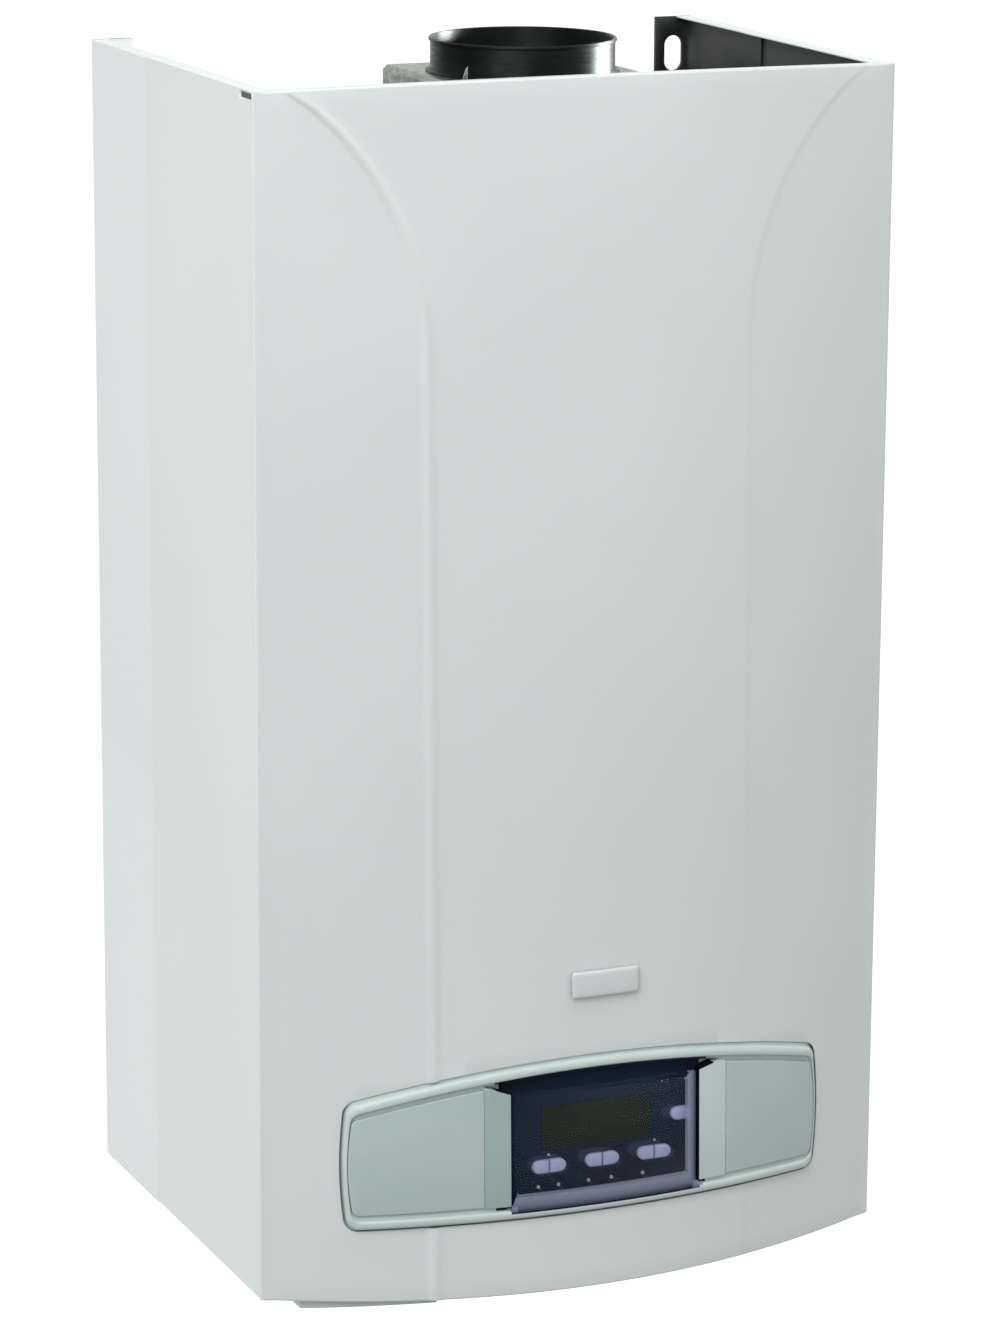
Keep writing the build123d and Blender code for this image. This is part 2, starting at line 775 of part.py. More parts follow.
def button_face(x_low, x_high, centre_level, round_low, round_high, grow):
    """Face of a button: a bar whose ends are round or straight."""
    half = button_height / 2
    z = level(centre_level)
    with BuildSketch(Plane.XZ, mode=Mode.PRIVATE) as face:
        body_low = x_low + half if round_low else x_low
        body_high = x_high - half if round_high else x_high
        with Locations(((body_low + body_high) / 2, z)):
            Rectangle(body_high - body_low, button_height)
        if round_low:
            with Locations((body_low, z)):
                Circle(half)
        if round_high:
            with Locations((body_high, z)):
                Circle(half)
        if grow:
            offset(amount=grow)
    return face.sketch


button_spans = []
for centre in pill_centres:
    gap = button_split / 2
    button_spans.append((centre - pill_half_width, centre - gap, button_level, True, False))
    button_spans.append((centre + gap, centre + pill_half_width, button_level, False, True))
button_spans.append((single_button_x - single_button_width / 2, single_button_x + single_button_width / 2,
                     single_button_level, True, True))

panel_back = panel_face - panel_thickness
with BuildPart() as display_panel:
    slab(window_left - window_frame, window_right + window_frame, -panel_face, -panel_back,
         window_low - window_frame, window_high + window_frame)
    slab(screen_left - button_gap, screen_right + button_gap, -2 * side_depth, 0,
         level(screen_bottom) - button_gap, level(screen_top) + button_gap, mode=Mode.SUBTRACT)
    for x_low, x_high, centre_level, round_low, round_high in button_spans:
        carve(button_face(x_low, x_high, centre_level, round_low, round_high, button_gap), Mode.SUBTRACT)
save(display_panel.part, "display_panel")

with BuildPart() as lcd_screen:
    slab(screen_left, screen_right, -panel_face - screen_proud, -panel_face + screen_depth,
         level(screen_bottom), level(screen_top))
save(lcd_screen.part, "lcd_screen")

for number, (x_low, x_high, centre_level, round_low, round_high) in enumerate(button_spans, start=1):
    with BuildPart() as button:
        face = button_face(x_low, x_high, centre_level, round_low, round_high, 0)
        extrude(face, amount=panel_face + button_proud, dir=(0, -1, 0))
        slab(x_low - flange, x_high + flange, -panel_face - button_proud + button_depth, 0,
             level(centre_level) - flange, level(centre_level) + flange, mode=Mode.SUBTRACT)
    save(button.part, f"button_{number}")

board_y = -panel_face + board_from_panel
board_left = window_left - board_margin
board_right = window_right + board_margin
board_low = level(window_bottom - board_margin)
board_high = level(window_top + board_margin)
with BuildPart() as main_board:
    slab(board_left, board_right, board_y, board_y + board_thickness, board_low, board_high)
    board_back = board_y + board_thickness
    part_pitch = (board_right - board_left) / 6
    for place in range(1, 6):
        part_x = board_left + place * part_pitch
        part_size = part_pitch * (0.18 + 0.04 * place)
        slab(part_x - part_size, part_x + part_size, board_back, board_back + 2 * part_size,
             board_low + board_margin, board_low + board_margin + 2 * part_size)
        slab(part_x - part_size / 2, part_x + part_size / 2, board_back, board_back + part_size,
             board_high - board_margin - part_size, board_high - board_margin)
save(main_board.part, "main_board")

# pressure gauge, face down in the tray's floor
dial_z = tray_floor_z + gauge_recess
with BuildPart() as gauge_body:
    rod((gauge_x, -gauge_from_wall, tray_floor_z), (0, 0, 1), gauge_height, gauge_radius)
    rod((gauge_x, -gauge_from_wall, tray_floor_z), (0, 0, 1), gauge_recess, gauge_bore, mode=Mode.SUBTRACT)
    rod((gauge_x, -gauge_from_wall, dial_z), (0, 0, 1), gauge_recess, needle_shaft_radius + running_gap,
        mode=Mode.SUBTRACT)
save(gauge_body.part, "gauge_body")

with BuildPart() as gauge_needle:
    needle_z = dial_z - fit_gap
    rod((gauge_x, -gauge_from_wall, needle_z), (0, 0, -1), needle_hub_height, needle_hub_radius)
    rod((gauge_x, -gauge_from_wall, needle_z), (0, 0, 1), gauge_recess - fit_gap, needle_shaft_radius)
    slab(gauge_x - needle_width / 2, gauge_x + needle_width / 2, -gauge_from_wall - needle_length,
         -gauge_from_wall, needle_z - needle_thickness, needle_z)
save(gauge_needle.part, "gauge_needle")

with BuildPart() as gauge_lens:
    rod((gauge_x, -gauge_from_wall, tray_floor_z), (0, 0, 1), gauge_lens_thickness, gauge_bore - running_gap)
save(gauge_lens.part, "gauge_lens")

# ---------------------------------------------------------------- flue and hood

hood_top_z = top_z - hood_top_drop
hood_base_z = hood_top_z - hood_height
chamber_front = chamber_rear + chamber_depth
chamber_mid_y = -(chamber_rear + chamber_front) / 2


def hood_solid(inset, base_z, roof_z):
    """Hood that tapers from the exchanger's outline to its top, then runs straight up."""
    shoulder_z = hood_top_z - hood_straight
    with BuildPart(mode=Mode.PRIVATE) as hood:
        with BuildSketch(Plane.XY.offset(base_z)):
            with Locations((0, chamber_mid_y)):
                Rectangle(2 * (chamber_half_width - inset), chamber_depth - 2 * inset)
        with BuildSketch(Plane.XY.offset(shoulder_z)):
            with Locations((0, -hood_top_from_wall)):
                Rectangle(hood_top_width - 2 * inset, hood_top_depth - 2 * inset)
        loft(ruled=True)
        with BuildSketch(Plane.XY.offset(shoulder_z)):
            with Locations((0, -hood_top_from_wall)):
                Rectangle(hood_top_width - 2 * inset, hood_top_depth - 2 * inset)
        extrude(amount=roof_z - shoulder_z)
    return hood.part


with BuildPart() as draught_hood:
    add(hood_solid(0, hood_base_z, hood_top_z))
    top_edges = draught_hood.edges().filter_by(Axis.Y).group_by(Axis.Z)[-1]
    chamfer(top_edges, hood_top_drop / 2)
    add(hood_solid(sheet, hood_base_z - sheet, hood_top_z - hood_top_drop / 2 - sheet), mode=Mode.SUBTRACT)
    rod((0, -flue_from_wall, hood_top_z), (0, 0, -1), 2 * hood_top_drop, hood_hole_radius, mode=Mode.SUBTRACT)
    slab(-chamber_half_width + 2 * flange, chamber_half_width - 2 * flange, chamber_mid_y, 0,
         hood_base_z + flange, hood_base_z + 3 * flange, mode=Mode.SUBTRACT)
save(draught_hood.part, "draught_hood")

with BuildPart() as flue_collar:
    collar_outer = flue_bore + flue_sheet
    rod((0, -flue_from_wall, hood_top_z), (0, 0, 1), collar_height, collar_outer)
    rod((0, -flue_from_wall, hood_top_z), (0, 0, 1), flue_sheet, collar_outer + collar_flange)
    with Locations((0, -flue_from_wall, hood_top_z + collar_height - rim_radius)):
        Torus(collar_outer, rim_radius)
    rod((0, -flue_from_wall, hood_top_z - flue_sheet), (0, 0, 1), collar_height + 2 * flue_sheet + rim_radius,
        flue_bore, mode=Mode.SUBTRACT)
save(flue_collar.part, "flue_collar")

hood_front_y = -hood_top_from_wall - hood_top_depth / 2
thermostat_z = hood_top_z - thermostat_drop
with BuildPart() as flue_thermostat:
    rod((thermostat_x, hood_front_y, thermostat_z), (0, -1, 0), thermostat_height / 4, 1.3 * thermostat_radius)
    rod((thermostat_x, hood_front_y, thermostat_z), (0, -1, 0), thermostat_height, thermostat_radius)
save(flue_thermostat.part, "flue_thermostat")

# ---------------------------------------------------------------- exchanger, chamber and burner

exchanger_top_z = hood_base_z - stack_gap
exchanger_base_z = exchanger_top_z - exchanger_height
chamber_top_z = exchanger_base_z
chamber_base_z = chamber_top_z - chamber_height
tube_z = (exchanger_top_z + exchanger_base_z) / 2
tube_ys = [chamber_mid_y + (place - (tube_count - 1) / 2) * tube_pitch for place in range(tube_count)]
tube_ys.reverse()

with BuildPart() as exchanger_tubes:
    turn_x = chamber_half_width - tube_bend_gap
    bend_radius = tube_pitch / 2
    with BuildLine() as serpentine:
        Line((-chamber_half_width, tube_ys[0], tube_z), (turn_x, tube_ys[0], tube_z))
        for place in range(tube_count - 1):
            side = 1 if place % 2 == 0 else -1
            near_y = tube_ys[place]
            far_y = tube_ys[place + 1]
            end_x = side * turn_x
            bulge = (end_x + side * bend_radius, (near_y + far_y) / 2, tube_z)
            ThreePointArc((end_x, near_y, tube_z), bulge, (end_x, far_y, tube_z))
            next_x = chamber_half_width if place == tube_count - 2 else -side * turn_x
            Line((end_x, far_y, tube_z), (next_x, far_y, tube_z))
    with BuildSketch(Plane(origin=serpentine.line @ 0, z_dir=(1, 0, 0))):
        Circle(tube_radius)
    sweep()
save(exchanger_tubes.part, "exchanger_tubes")

fin_reach = turn_x - fin_margin
fin_count = int(2 * fin_reach / fin_pitch) + 1
with BuildPart() as exchanger_fins:
    with BuildSketch(Plane.YZ.offset(-(fin_count - 1) * fin_pitch / 2)) as fin_face:
        with Locations((chamber_mid_y, tube_z)):
            Rectangle(chamber_depth - 2 * fin_margin, exchanger_height - 2 * sheet)
        with Locations(*[(y, tube_z) for y in tube_ys]):
            Circle(tube_radius + running_gap, mode=Mode.SUBTRACT)
    extrude(amount=fin_thickness, both=False)
    first_fin = exchanger_fins.part
    for place in range(1, fin_count):
        add(first_fin.moved(Location((place * fin_pitch, 0, 0))))
save(exchanger_fins.part, "exchanger_fins")

with BuildPart() as combustion_chamber:
    slab(-chamber_half_width, chamber_half_width, -chamber_front, -chamber_rear, chamber_base_z, chamber_top_z)
    slab(-chamber_half_width + sheet, chamber_half_width - sheet, -chamber_front - sheet,
         -chamber_rear - sheet, chamber_base_z - sheet, chamber_top_z + sheet, mode=Mode.SUBTRACT)
    for side in (-1, 1):
        lap_low, lap_high = sorted((side * chamber_half_width, side * (chamber_half_width + chamber_lap)))
        slab(lap_low, lap_high, -chamber_front, -chamber_front + sheet, chamber_base_z, chamber_top_z)
save(combustion_chamber.part, "combustion_chamber")

board_inner = chamber_half_width - sheet
board_front_y = -chamber_front + sheet
chamber_panel_y = -chamber_front - chamber_panel_sheet
electrode_z = chamber_base_z + electrode_level
electrode_xs = [place * electrode_spacing for place in (-1, 0, 1)]
screw_x_chamber = chamber_half_width + chamber_lap / 2
screw_zs = [chamber_base_z + chamber_height * share for share in (0.08, 0.5, 0.92)]

with BuildPart() as chamber_insulation:
    slab(-board_inner, -board_inner + insulation, board_front_y, -chamber_rear - sheet - insulation,
         chamber_base_z, chamber_top_z)
    slab(board_inner - insulation, board_inner, board_front_y, -chamber_rear - sheet - insulation,
         chamber_base_z, chamber_top_z)
    slab(-board_inner, board_inner, -chamber_rear - sheet - insulation, -chamber_rear - sheet,
         chamber_base_z, chamber_top_z)
    slab(-board_inner + insulation, board_inner - insulation, -chamber_front, -chamber_front + insulation,
         chamber_base_z, chamber_top_z)
    for x in electrode_xs:
        rod((x, -chamber_front, electrode_z), (0, 1, 0), insulation, electrode_radius + running_gap,
            mode=Mode.SUBTRACT)
save(chamber_insulation.part, "chamber_insulation")

with BuildPart() as chamber_front_panel:
    panel_reach = chamber_half_width + chamber_lap
    slab(-panel_reach, panel_reach, chamber_panel_y, -chamber_front, chamber_base_z, chamber_top_z)
    slab(-panel_reach + 2 * flange, panel_reach - 2 * flange, chamber_panel_y - chamber_panel_sheet,
         chamber_panel_y, chamber_base_z + 4 * flange, chamber_top_z - 2 * flange)
    for x in electrode_xs:
        rod((x, chamber_panel_y, electrode_z), (0, 1, 0), chamber_panel_sheet, electrode_radius + running_gap,
            mode=Mode.SUBTRACT)
    for side in (-1, 1):
        for z in screw_zs:
            rod((side * screw_x_chamber, chamber_panel_y, z), (0, 1, 0), chamber_panel_sheet,
                screw_radius + running_gap, mode=Mode.SUBTRACT)
save(chamber_front_panel.part, "chamber_front_panel")

with BuildPart() as frame_screws:
    for side in (-1, 1):
        for z in screw_zs:
            rod((side * screw_x_chamber, chamber_panel_y, z), (0, -1, 0), screw_head_height,
                screw_radius + sheet)
            rod((side * screw_x_chamber, chamber_panel_y, z), (0, 1, 0), chamber_panel_sheet, screw_radius)
save(frame_screws.part, "frame_screws")

with BuildPart() as electrodes:
    for x in electrode_xs:
        start_y = chamber_panel_y - electrode_length / 3
        rod((x, start_y, electrode_z), (0, 1, 0), electrode_length, electrode_radius)
        rod((x, start_y + electrode_length, electrode_z), (0, 1, 0), electrode_length / 3, electrode_wire)
save(electrodes.part, "electrodes")

burner_top_z = chamber_base_z
burner_base_z = burner_top_z - burner_height
burner_half = chamber_half_width - burner_margin
burner_back = -chamber_rear - burner_margin
burner_front = -chamber_front + burner_margin
ramp_back = burner_back - burner_sheet - fit_gap
ramp_front = burner_front + burner_sheet + fit_gap
ramp_base_z = burner_base_z + ledge
ramp_pitch = 2 * (burner_half - burner_sheet) / ramp_count
ramp_xs = [(place - (ramp_count - 1) / 2) * ramp_pitch for place in range(ramp_count)]

with BuildPart() as burner_tray:
    slab(-burner_half, burner_half, burner_front, burner_back, burner_base_z, burner_top_z)
    slab(-burner_half + burner_sheet, burner_half - burner_sheet, burner_front + burner_sheet,
         burner_back - burner_sheet, burner_base_z - burner_sheet, burner_top_z + burner_sheet,
         mode=Mode.SUBTRACT)
    for y in (ramp_front, ramp_back - ledge):
        slab(-burner_half + burner_sheet, burner_half - burner_sheet, y, y + ledge, burner_base_z, ramp_base_z)
    slab(-burner_half, burner_half, burner_front, burner_front + burner_sheet + fit_gap, burner_base_z,
         ramp_base_z)
    slab(-burner_half, burner_half, burner_back - burner_sheet - fit_gap, burner_back, burner_base_z,
         ramp_base_z)
    for x in ramp_xs:
        rod((x, burner_front, ramp_base_z + ramp_height / 3), (0, 1, 0), burner_sheet, injector_radius + sheet,
            mode=Mode.SUBTRACT)
save(burner_tray.part, "burner_tray")

with BuildPart() as first_ramp:
    slab(ramp_xs[0] - ramp_width / 2, ramp_xs[0] + ramp_width / 2, ramp_front, ramp_back, ramp_base_z,
         ramp_base_z + ramp_height)
    long_edges = first_ramp.edges().filter_by(Axis.Y)
    fillet(long_edges, ramp_width / 4)
    slab(ramp_xs[0] - ramp_width / 2 + sheet, ramp_xs[0] + ramp_width / 2 - sheet, ramp_front + sheet,
         ramp_back - sheet, ramp_base_z + sheet, ramp_base_z + ramp_height - ramp_slot_depth / 2,
         mode=Mode.SUBTRACT)
    slot_pitch = (ramp_back - ramp_front) / ramp_slots
    for place in range(ramp_slots):
        slot_y = ramp_front + (place + 0.5) * slot_pitch
        slab(ramp_xs[0] - ramp_width / 4, ramp_xs[0] + ramp_width / 4, slot_y - ramp_slot_width / 2,
             slot_y + ramp_slot_width / 2, ramp_base_z + ramp_height - ramp_slot_depth,
             ramp_base_z + ramp_height, mode=Mode.SUBTRACT)
with BuildPart() as burner_ramps:
    for x in ramp_xs:
        add(first_ramp.part.moved(Location((x - ramp_xs[0], 0, 0))))
save(burner_ramps.part, "burner_ramps")

rail_z = ramp_base_z + ramp_height / 3
rail_y = burner_front - rail_tube_gap - injector_length
with BuildPart() as injector_rail:
    rod((-burner_half, rail_y, rail_z), (1, 0, 0), 2 * burner_half, rail_tube_radius)
    for x in ramp_xs:
        rod((x, rail_y, rail_z), (0, 1, 0), rail_tube_gap + injector_length, injector_radius)
save(injector_rail.part, "injector_rail")

# ---------------------------------------------------------------- gas line

connection_y = -connection_from_wall
plate_z = level(plate_level)


def stub(x, radius, high):
    """Tail below the casing and the thicker neck above it, up to a height."""
    neck_z = plate_z - nut_height
    rod((x, connection_y, level(-stub_drop)), (0, 0, 1), stub_drop + high, radius)
    rod((x, connection_y, neck_z), (0, 0, 1), level(high) - neck_z, radius + neck_step)


def stub_bore(x, radius, high):
    """Bore of a stub, from its open end up to a height."""
    rod((x, connection_y, level(-stub_drop)), (0, 0, 1), stub_drop + high, radius - stub_wall,
        mode=Mode.SUBTRACT)


gas_valve_z = level(gas_valve_low)
gas_outlet_y = -gas_outlet_from_wall
gas_valve_front = connection_y + port_radius - gas_valve_depth
with BuildPart() as gas_valve_body:
    slab(-gas_valve_width / 2, gas_valve_width / 2, gas_valve_front, gas_valve_front + gas_valve_depth,
         gas_valve_z + flange, gas_valve_z + gas_valve_height - flange)
    body_edges = gas_valve_body.edges().filter_by(Axis.Z)
    fillet(body_edges, flange / 2)
    rod((0, connection_y, gas_valve_z), (0, 0, 1), flange, large_stub_radius)
    rod((0, gas_outlet_y, gas_valve_z + gas_valve_height - flange), (0, 0, 1), flange, large_stub_radius)
    rod((0, gas_valve_front, gas_valve_z + gas_valve_height / 2), (0, -1, 0), flange, 1.2 * gas_coil_radius)
save(gas_valve_body.part, "gas_valve_body")

with BuildPart() as gas_valve_coils:
    for side in (-1, 1):
        coil_x = side * (gas_valve_width / 2 - gas_coil_radius)
        coil_z = gas_valve_z + gas_valve_height - flange
        rod((coil_x, gas_outlet_y, coil_z), (0, 0, 1), gas_coil_height, gas_coil_radius)
        slab(coil_x - gas_coil_radius / 2, coil_x + gas_coil_radius / 2, gas_outlet_y - 1.3 * gas_coil_radius,
             gas_outlet_y, coil_z + gas_coil_height / 3, coil_z + 2 * gas_coil_height / 3)
save(gas_valve_coils.part, "gas_valve_coils")

gas_run_z = burner_base_z - gas_pipe_bend - rail_tube_radius
with BuildPart() as gas_pipes:
    stub(0, large_stub_radius, 2 * nut_height)
    rod((0, connection_y, level(0)), (0, 0, 1), gas_valve_low, large_stub_radius)
    stub_bore(0, large_stub_radius, gas_valve_low)
    add(bent_tube([(0, gas_outlet_y, gas_valve_z + gas_valve_height), (0, gas_outlet_y, gas_run_z),
                   (0, rail_y, gas_run_z), (0, rail_y, rail_z - rail_tube_radius)],
                  gas_pipe_radius, gas_pipe_radius - sheet, gas_pipe_bend))
    rod((-2 * gas_pipe_radius, rail_y, rail_z), (1, 0, 0), 4 * gas_pipe_radius,
        rail_tube_radius + running_gap, mode=Mode.SUBTRACT)
save(gas_pipes.part, "gas_pipes")

# ---------------------------------------------------------------- water side

flow_x = -2 * connection_pitch
hot_x = -connection_pitch
cold_x = connection_pitch
return_x = 2 * connection_pitch
manifold_front = connection_y - manifold_depth / 2
manifold_back = connection_y + manifold_depth / 2
plates_back = manifold_front - flange
valve_top = manifold_low + manifold_height + valve_chamber_height
serpentine_start = (-chamber_half_width, tube_ys[0], tube_z)
serpentine_end = (chamber_half_width, tube_ys[-1], tube_z)
flow_pipe_foot = (flow_x - valve_chamber_radius - 2, tube_ys[0], level(manifold_low + manifold_height / 2))
port_z = level(manifold_low + manifold_height - port_radius)

with BuildPart() as flow_manifold:
    slab(flow_x - valve_chamber_radius, hot_x + small_stub_radius + stub_wall, manifold_front, manifold_back,
         level(manifold_low), level(manifold_low + manifold_height))
    block_edges = flow_manifold.edges().filter_by(Axis.Z)
    fillet(block_edges, stub_wall)
    slab(flow_x - valve_chamber_radius, flow_x, tube_ys[0] - port_radius - 2, manifold_front,
         level(manifold_low), level(manifold_low + manifold_height))
    rod((flow_pipe_foot[0], flow_pipe_foot[1], flow_pipe_foot[2]), (1, 0, 0), valve_chamber_radius, port_radius)
    rod((flow_x, connection_y, level(manifold_low)), (0, 0, 1), manifold_height + valve_chamber_height,
        valve_chamber_radius)
    stub(flow_x, large_stub_radius, manifold_low)
    stub(hot_x, small_stub_radius, manifold_low)
    rod((hot_x, manifold_front, port_z), (0, -1, 0), flange, port_radius)
    stub_bore(flow_x, large_stub_radius, manifold_low + stub_wall)
    stub_bore(hot_x, small_stub_radius, manifold_low)
    rod((flow_x, connection_y, level(manifold_low + stub_wall)), (0, 0, 1),
        valve_top - guide_height - manifold_low - stub_wall, valve_bore, mode=Mode.SUBTRACT)
    rod((flow_x, connection_y, level(valve_top - 2 * guide_height)), (0, 0, 1), 3 * guide_height,
        stem_radius + running_gap, mode=Mode.SUBTRACT)
save(flow_manifold.part, "flow_manifold")

stem_low = manifold_low + manifold_height / 2
stem_high = valve_top + motor_height / 2
with BuildPart() as valve_stem:
    rod((flow_x, connection_y, level(stem_low)), (0, 0, 1), stem_high - stem_low, stem_radius)
    rod((flow_x, connection_y, level(stem_low)), (0, 0, 1), valve_disc_height, valve_disc_radius)
save(valve_stem.part, "valve_stem")

with BuildPart() as valve_motor:
    slab(flow_x - motor_width / 2, flow_x + motor_width / 2, connection_y - motor_width / 2,
         connection_y + motor_width / 2, level(valve_top), level(valve_top + motor_height))
    motor_edges = valve_motor.edges().filter_by(Axis.Z)
    fillet(motor_edges, flange / 2)
    rod((flow_x, connection_y, level(valve_top)), (0, 0, 1), motor_height / 2 + stem_travel + fit_gap,
        motor_bore, mode=Mode.SUBTRACT)
save(valve_motor.part, "valve_motor")

sensor_top = return_manifold_low
turbine_z = level((sensor_low + sensor_top) / 2 - turbine_height / 2)
with BuildPart() as flow_sensor_body:
    rod((cold_x, connection_y, level(sensor_low)), (0, 0, 1), sensor_top - sensor_low, sensor_radius)
    stub(cold_x, small_stub_radius, sensor_low)
    stub_bore(cold_x, small_stub_radius, sensor_low + stub_wall)
    rod((cold_x, connection_y, level(sensor_low + stub_wall)), (0, 0, 1), sensor_top - sensor_low,
        sensor_bore, mode=Mode.SUBTRACT)
    slab(cold_x - sensor_bore, cold_x + sensor_bore, connection_y - turbine_blade, connection_y + turbine_blade,
         level(sensor_low), level(sensor_low + 2 * stub_wall))
    rod((cold_x, connection_y, level(sensor_low)), (0, 0, 1), sensor_top - sensor_low - 2 * stub_wall,
        turbine_axle_radius)
save(flow_sensor_body.part, "flow_sensor_body")

with BuildPart() as flow_turbine:
    rod((cold_x, connection_y, turbine_z), (0, 0, 1), turbine_height, turbine_hub_radius)
    with Locations(Plane(origin=(cold_x, connection_y, turbine_z + turbine_height / 2))):
        with PolarLocations(turbine_radius / 2, turbine_blades):
            Box(turbine_radius, turbine_blade, turbine_height)
    rod((cold_x, connection_y, turbine_z), (0, 0, 1), turbine_height, turbine_axle_radius + running_gap,
        mode=Mode.SUBTRACT)
save(flow_turbine.part, "flow_turbine")

return_low_z = level(return_manifold_low)
return_top_z = level(return_manifold_low + return_manifold_height)
pump_z = level(pump_level)
volute_back = manifold_back
volute_front = volute_back - volute_depth
safety_z = (return_low_z + return_top_z) / 2
with BuildPart() as return_manifold:
    slab(cold_x - sensor_radius, return_x + valve_chamber_radius, manifold_front, manifold_back,
         return_low_z, return_top_z)
    block_edges = return_manifold.edges().filter_by(Axis.Z)
    fillet(block_edges, stub_wall)
    stub(return_x, large_stub_radius, return_manifold_low)
    stub_bore(return_x, large_stub_radius, return_manifold_low)
    rod((cold_x, manifold_front, safety_z), (0, -1, 0), flange, port_radius)
    rod((return_x, manifold_front, safety_z), (0, -1, 0), safety_reach, safety_body_radius)
    rod((return_x, manifold_front - safety_reach, safety_z), (0, -1, 0), spindle_length, spindle_radius)
    rod((filling_tap_x, connection_y, return_low_z), (0, 0, -1), return_manifold_low - filling_tap_foot,
        filling_tap_radius)
    rod((filling_tap_x, connection_y, level(filling_tap_foot)), (0, 0, -1), spindle_length, spindle_radius)
    rod((vessel_pipe_x, manifold_back - vessel_pipe_radius - stub_wall, return_top_z), (0, 0, 1), flange / 2,
        vessel_pipe_radius + sheet)
save(return_manifold.part, "return_manifold")


def knob(start, direction):
    """Fluted knob with a blind bore over its spindle."""
    face = Plane(origin=start, z_dir=direction)
    with BuildPart() as body:
        with BuildSketch(face):
            Circle(knob_radius)
            with PolarLocations(knob_radius, 10):
                Circle(knob_radius / 8, mode=Mode.SUBTRACT)
        extrude(amount=knob_height)
        with BuildSketch(face):
            Circle(spindle_radius + running_gap)
        extrude(amount=spindle_length + fit_gap, mode=Mode.SUBTRACT)
    return body.part


save(knob((return_x, manifold_front - safety_reach - fit_gap, safety_z), (0, -1, 0)), "safety_valve_knob")
save(knob((filling_tap_x, connection_y, level(filling_tap_foot) - fit_gap), (0, 0, -1)), "filling_tap_knob")

with BuildPart() as plate_exchanger:
    thickness = plates_depth / plate_count
    for place in range(plate_count):
        shrink = plate_step if place % 2 else 0
        with BuildSketch(Plane.XZ.offset(-plates_back + place * thickness)):
            with Locations((0, level(plates_low + plates_height / 2))):
                RectangleRounded(2 * plates_half_width - 2 * shrink, plates_height - 2 * shrink, plates_corner)
        extrude(amount=thickness)
    cavity_x = plates_half_width - plates_corner
    cavity_z = plates_height / 2 - plates_corner
    plates_z = level(plates_low + plates_height / 2)
    slab(-cavity_x, cavity_x, -plates_depth + plates_back + thickness, plates_back - thickness,
         plates_z - cavity_z, plates_z + cavity_z, mode=Mode.SUBTRACT)
    for x in (hot_x, cold_x):
        rod((x, plates_back, plates_z), (0, -1, 0), 2 * thickness, port_radius / 2, mode=Mode.SUBTRACT)
save(plate_exchanger.part, "plate_exchanger")

with BuildPart() as pump_body:
    rod((return_x, volute_back, pump_z), (0, -1, 0), volute_depth, volute_radius)
    rod((return_x, connection_y, return_top_z), (0, 0, 1), pump_z - return_top_z, large_stub_radius)
    rod((return_x, -return_pipe_from_wall, pump_z), (1, 0, 0), volute_radius + 2, port_radius)
    rod((return_x, connection_y - flange / 2, pump_z), (0, 0, 1), volute_radius + 6, vent_radius - 2)
    rod((return_x, volute_front, pump_z), (0, 1, 0), impeller_cavity_depth, impeller_cavity_radius,
        mode=Mode.SUBTRACT)
save(pump_body.part, "pump_body")

with BuildPart() as pump_motor:
    rod((return_x, volute_front, pump_z), (0, -1, 0), motor_flange, volute_radius)
    rod((return_x, volute_front, pump_z), (0, -1, 0), motor_can_length, motor_can_radius)
    can_rim = pump_motor.edges().filter_by(GeomType.CIRCLE).group_by(Axis.Y)[0]
    fillet(can_rim, flange / 2)
    rod((return_x, volute_front, pump_z), (0, -1, 0), impeller_shaft_length, impeller_shaft_radius + running_gap,
        mode=Mode.SUBTRACT)
save(pump_motor.part, "pump_motor")

impeller_y = volute_front + (impeller_cavity_depth - impeller_disc - impeller_blade_height) / 2
with BuildPart() as pump_impeller:
    rod((return_x, impeller_y, pump_z), (0, 1, 0), impeller_disc, impeller_radius)
    with Locations(Plane(origin=(return_x, impeller_y + impeller_disc, pump_z), z_dir=(0, 1, 0))):
        with PolarLocations(0.62 * impeller_radius, impeller_blades, rotate=True):
            Box(0.7 * impeller_radius, impeller_disc, impeller_blade_height, rotation=(0, 0, 25),
                align=(Align.CENTER, Align.CENTER, Align.MIN))
    rod((return_x, impeller_y + impeller_disc + impeller_blade_height, pump_z), (0, -1, 0),
        impeller_shaft_length - impeller_cavity_depth / 2, impeller_shaft_radius)
save(pump_impeller.part, "pump_impeller")

vent_z = pump_z + volute_radius + 6
with BuildPart() as air_vent:
    vent_y = connection_y - flange / 2
    rod((return_x, vent_y, vent_z), (0, 0, 1), vent_height, vent_radius)
    rod((return_x, vent_y, vent_z + vent_height), (0, 0, 1), vent_radius / 2, vent_radius / 2)
save(air_vent.part, "air_vent")

vessel_z = level(vessel_level)


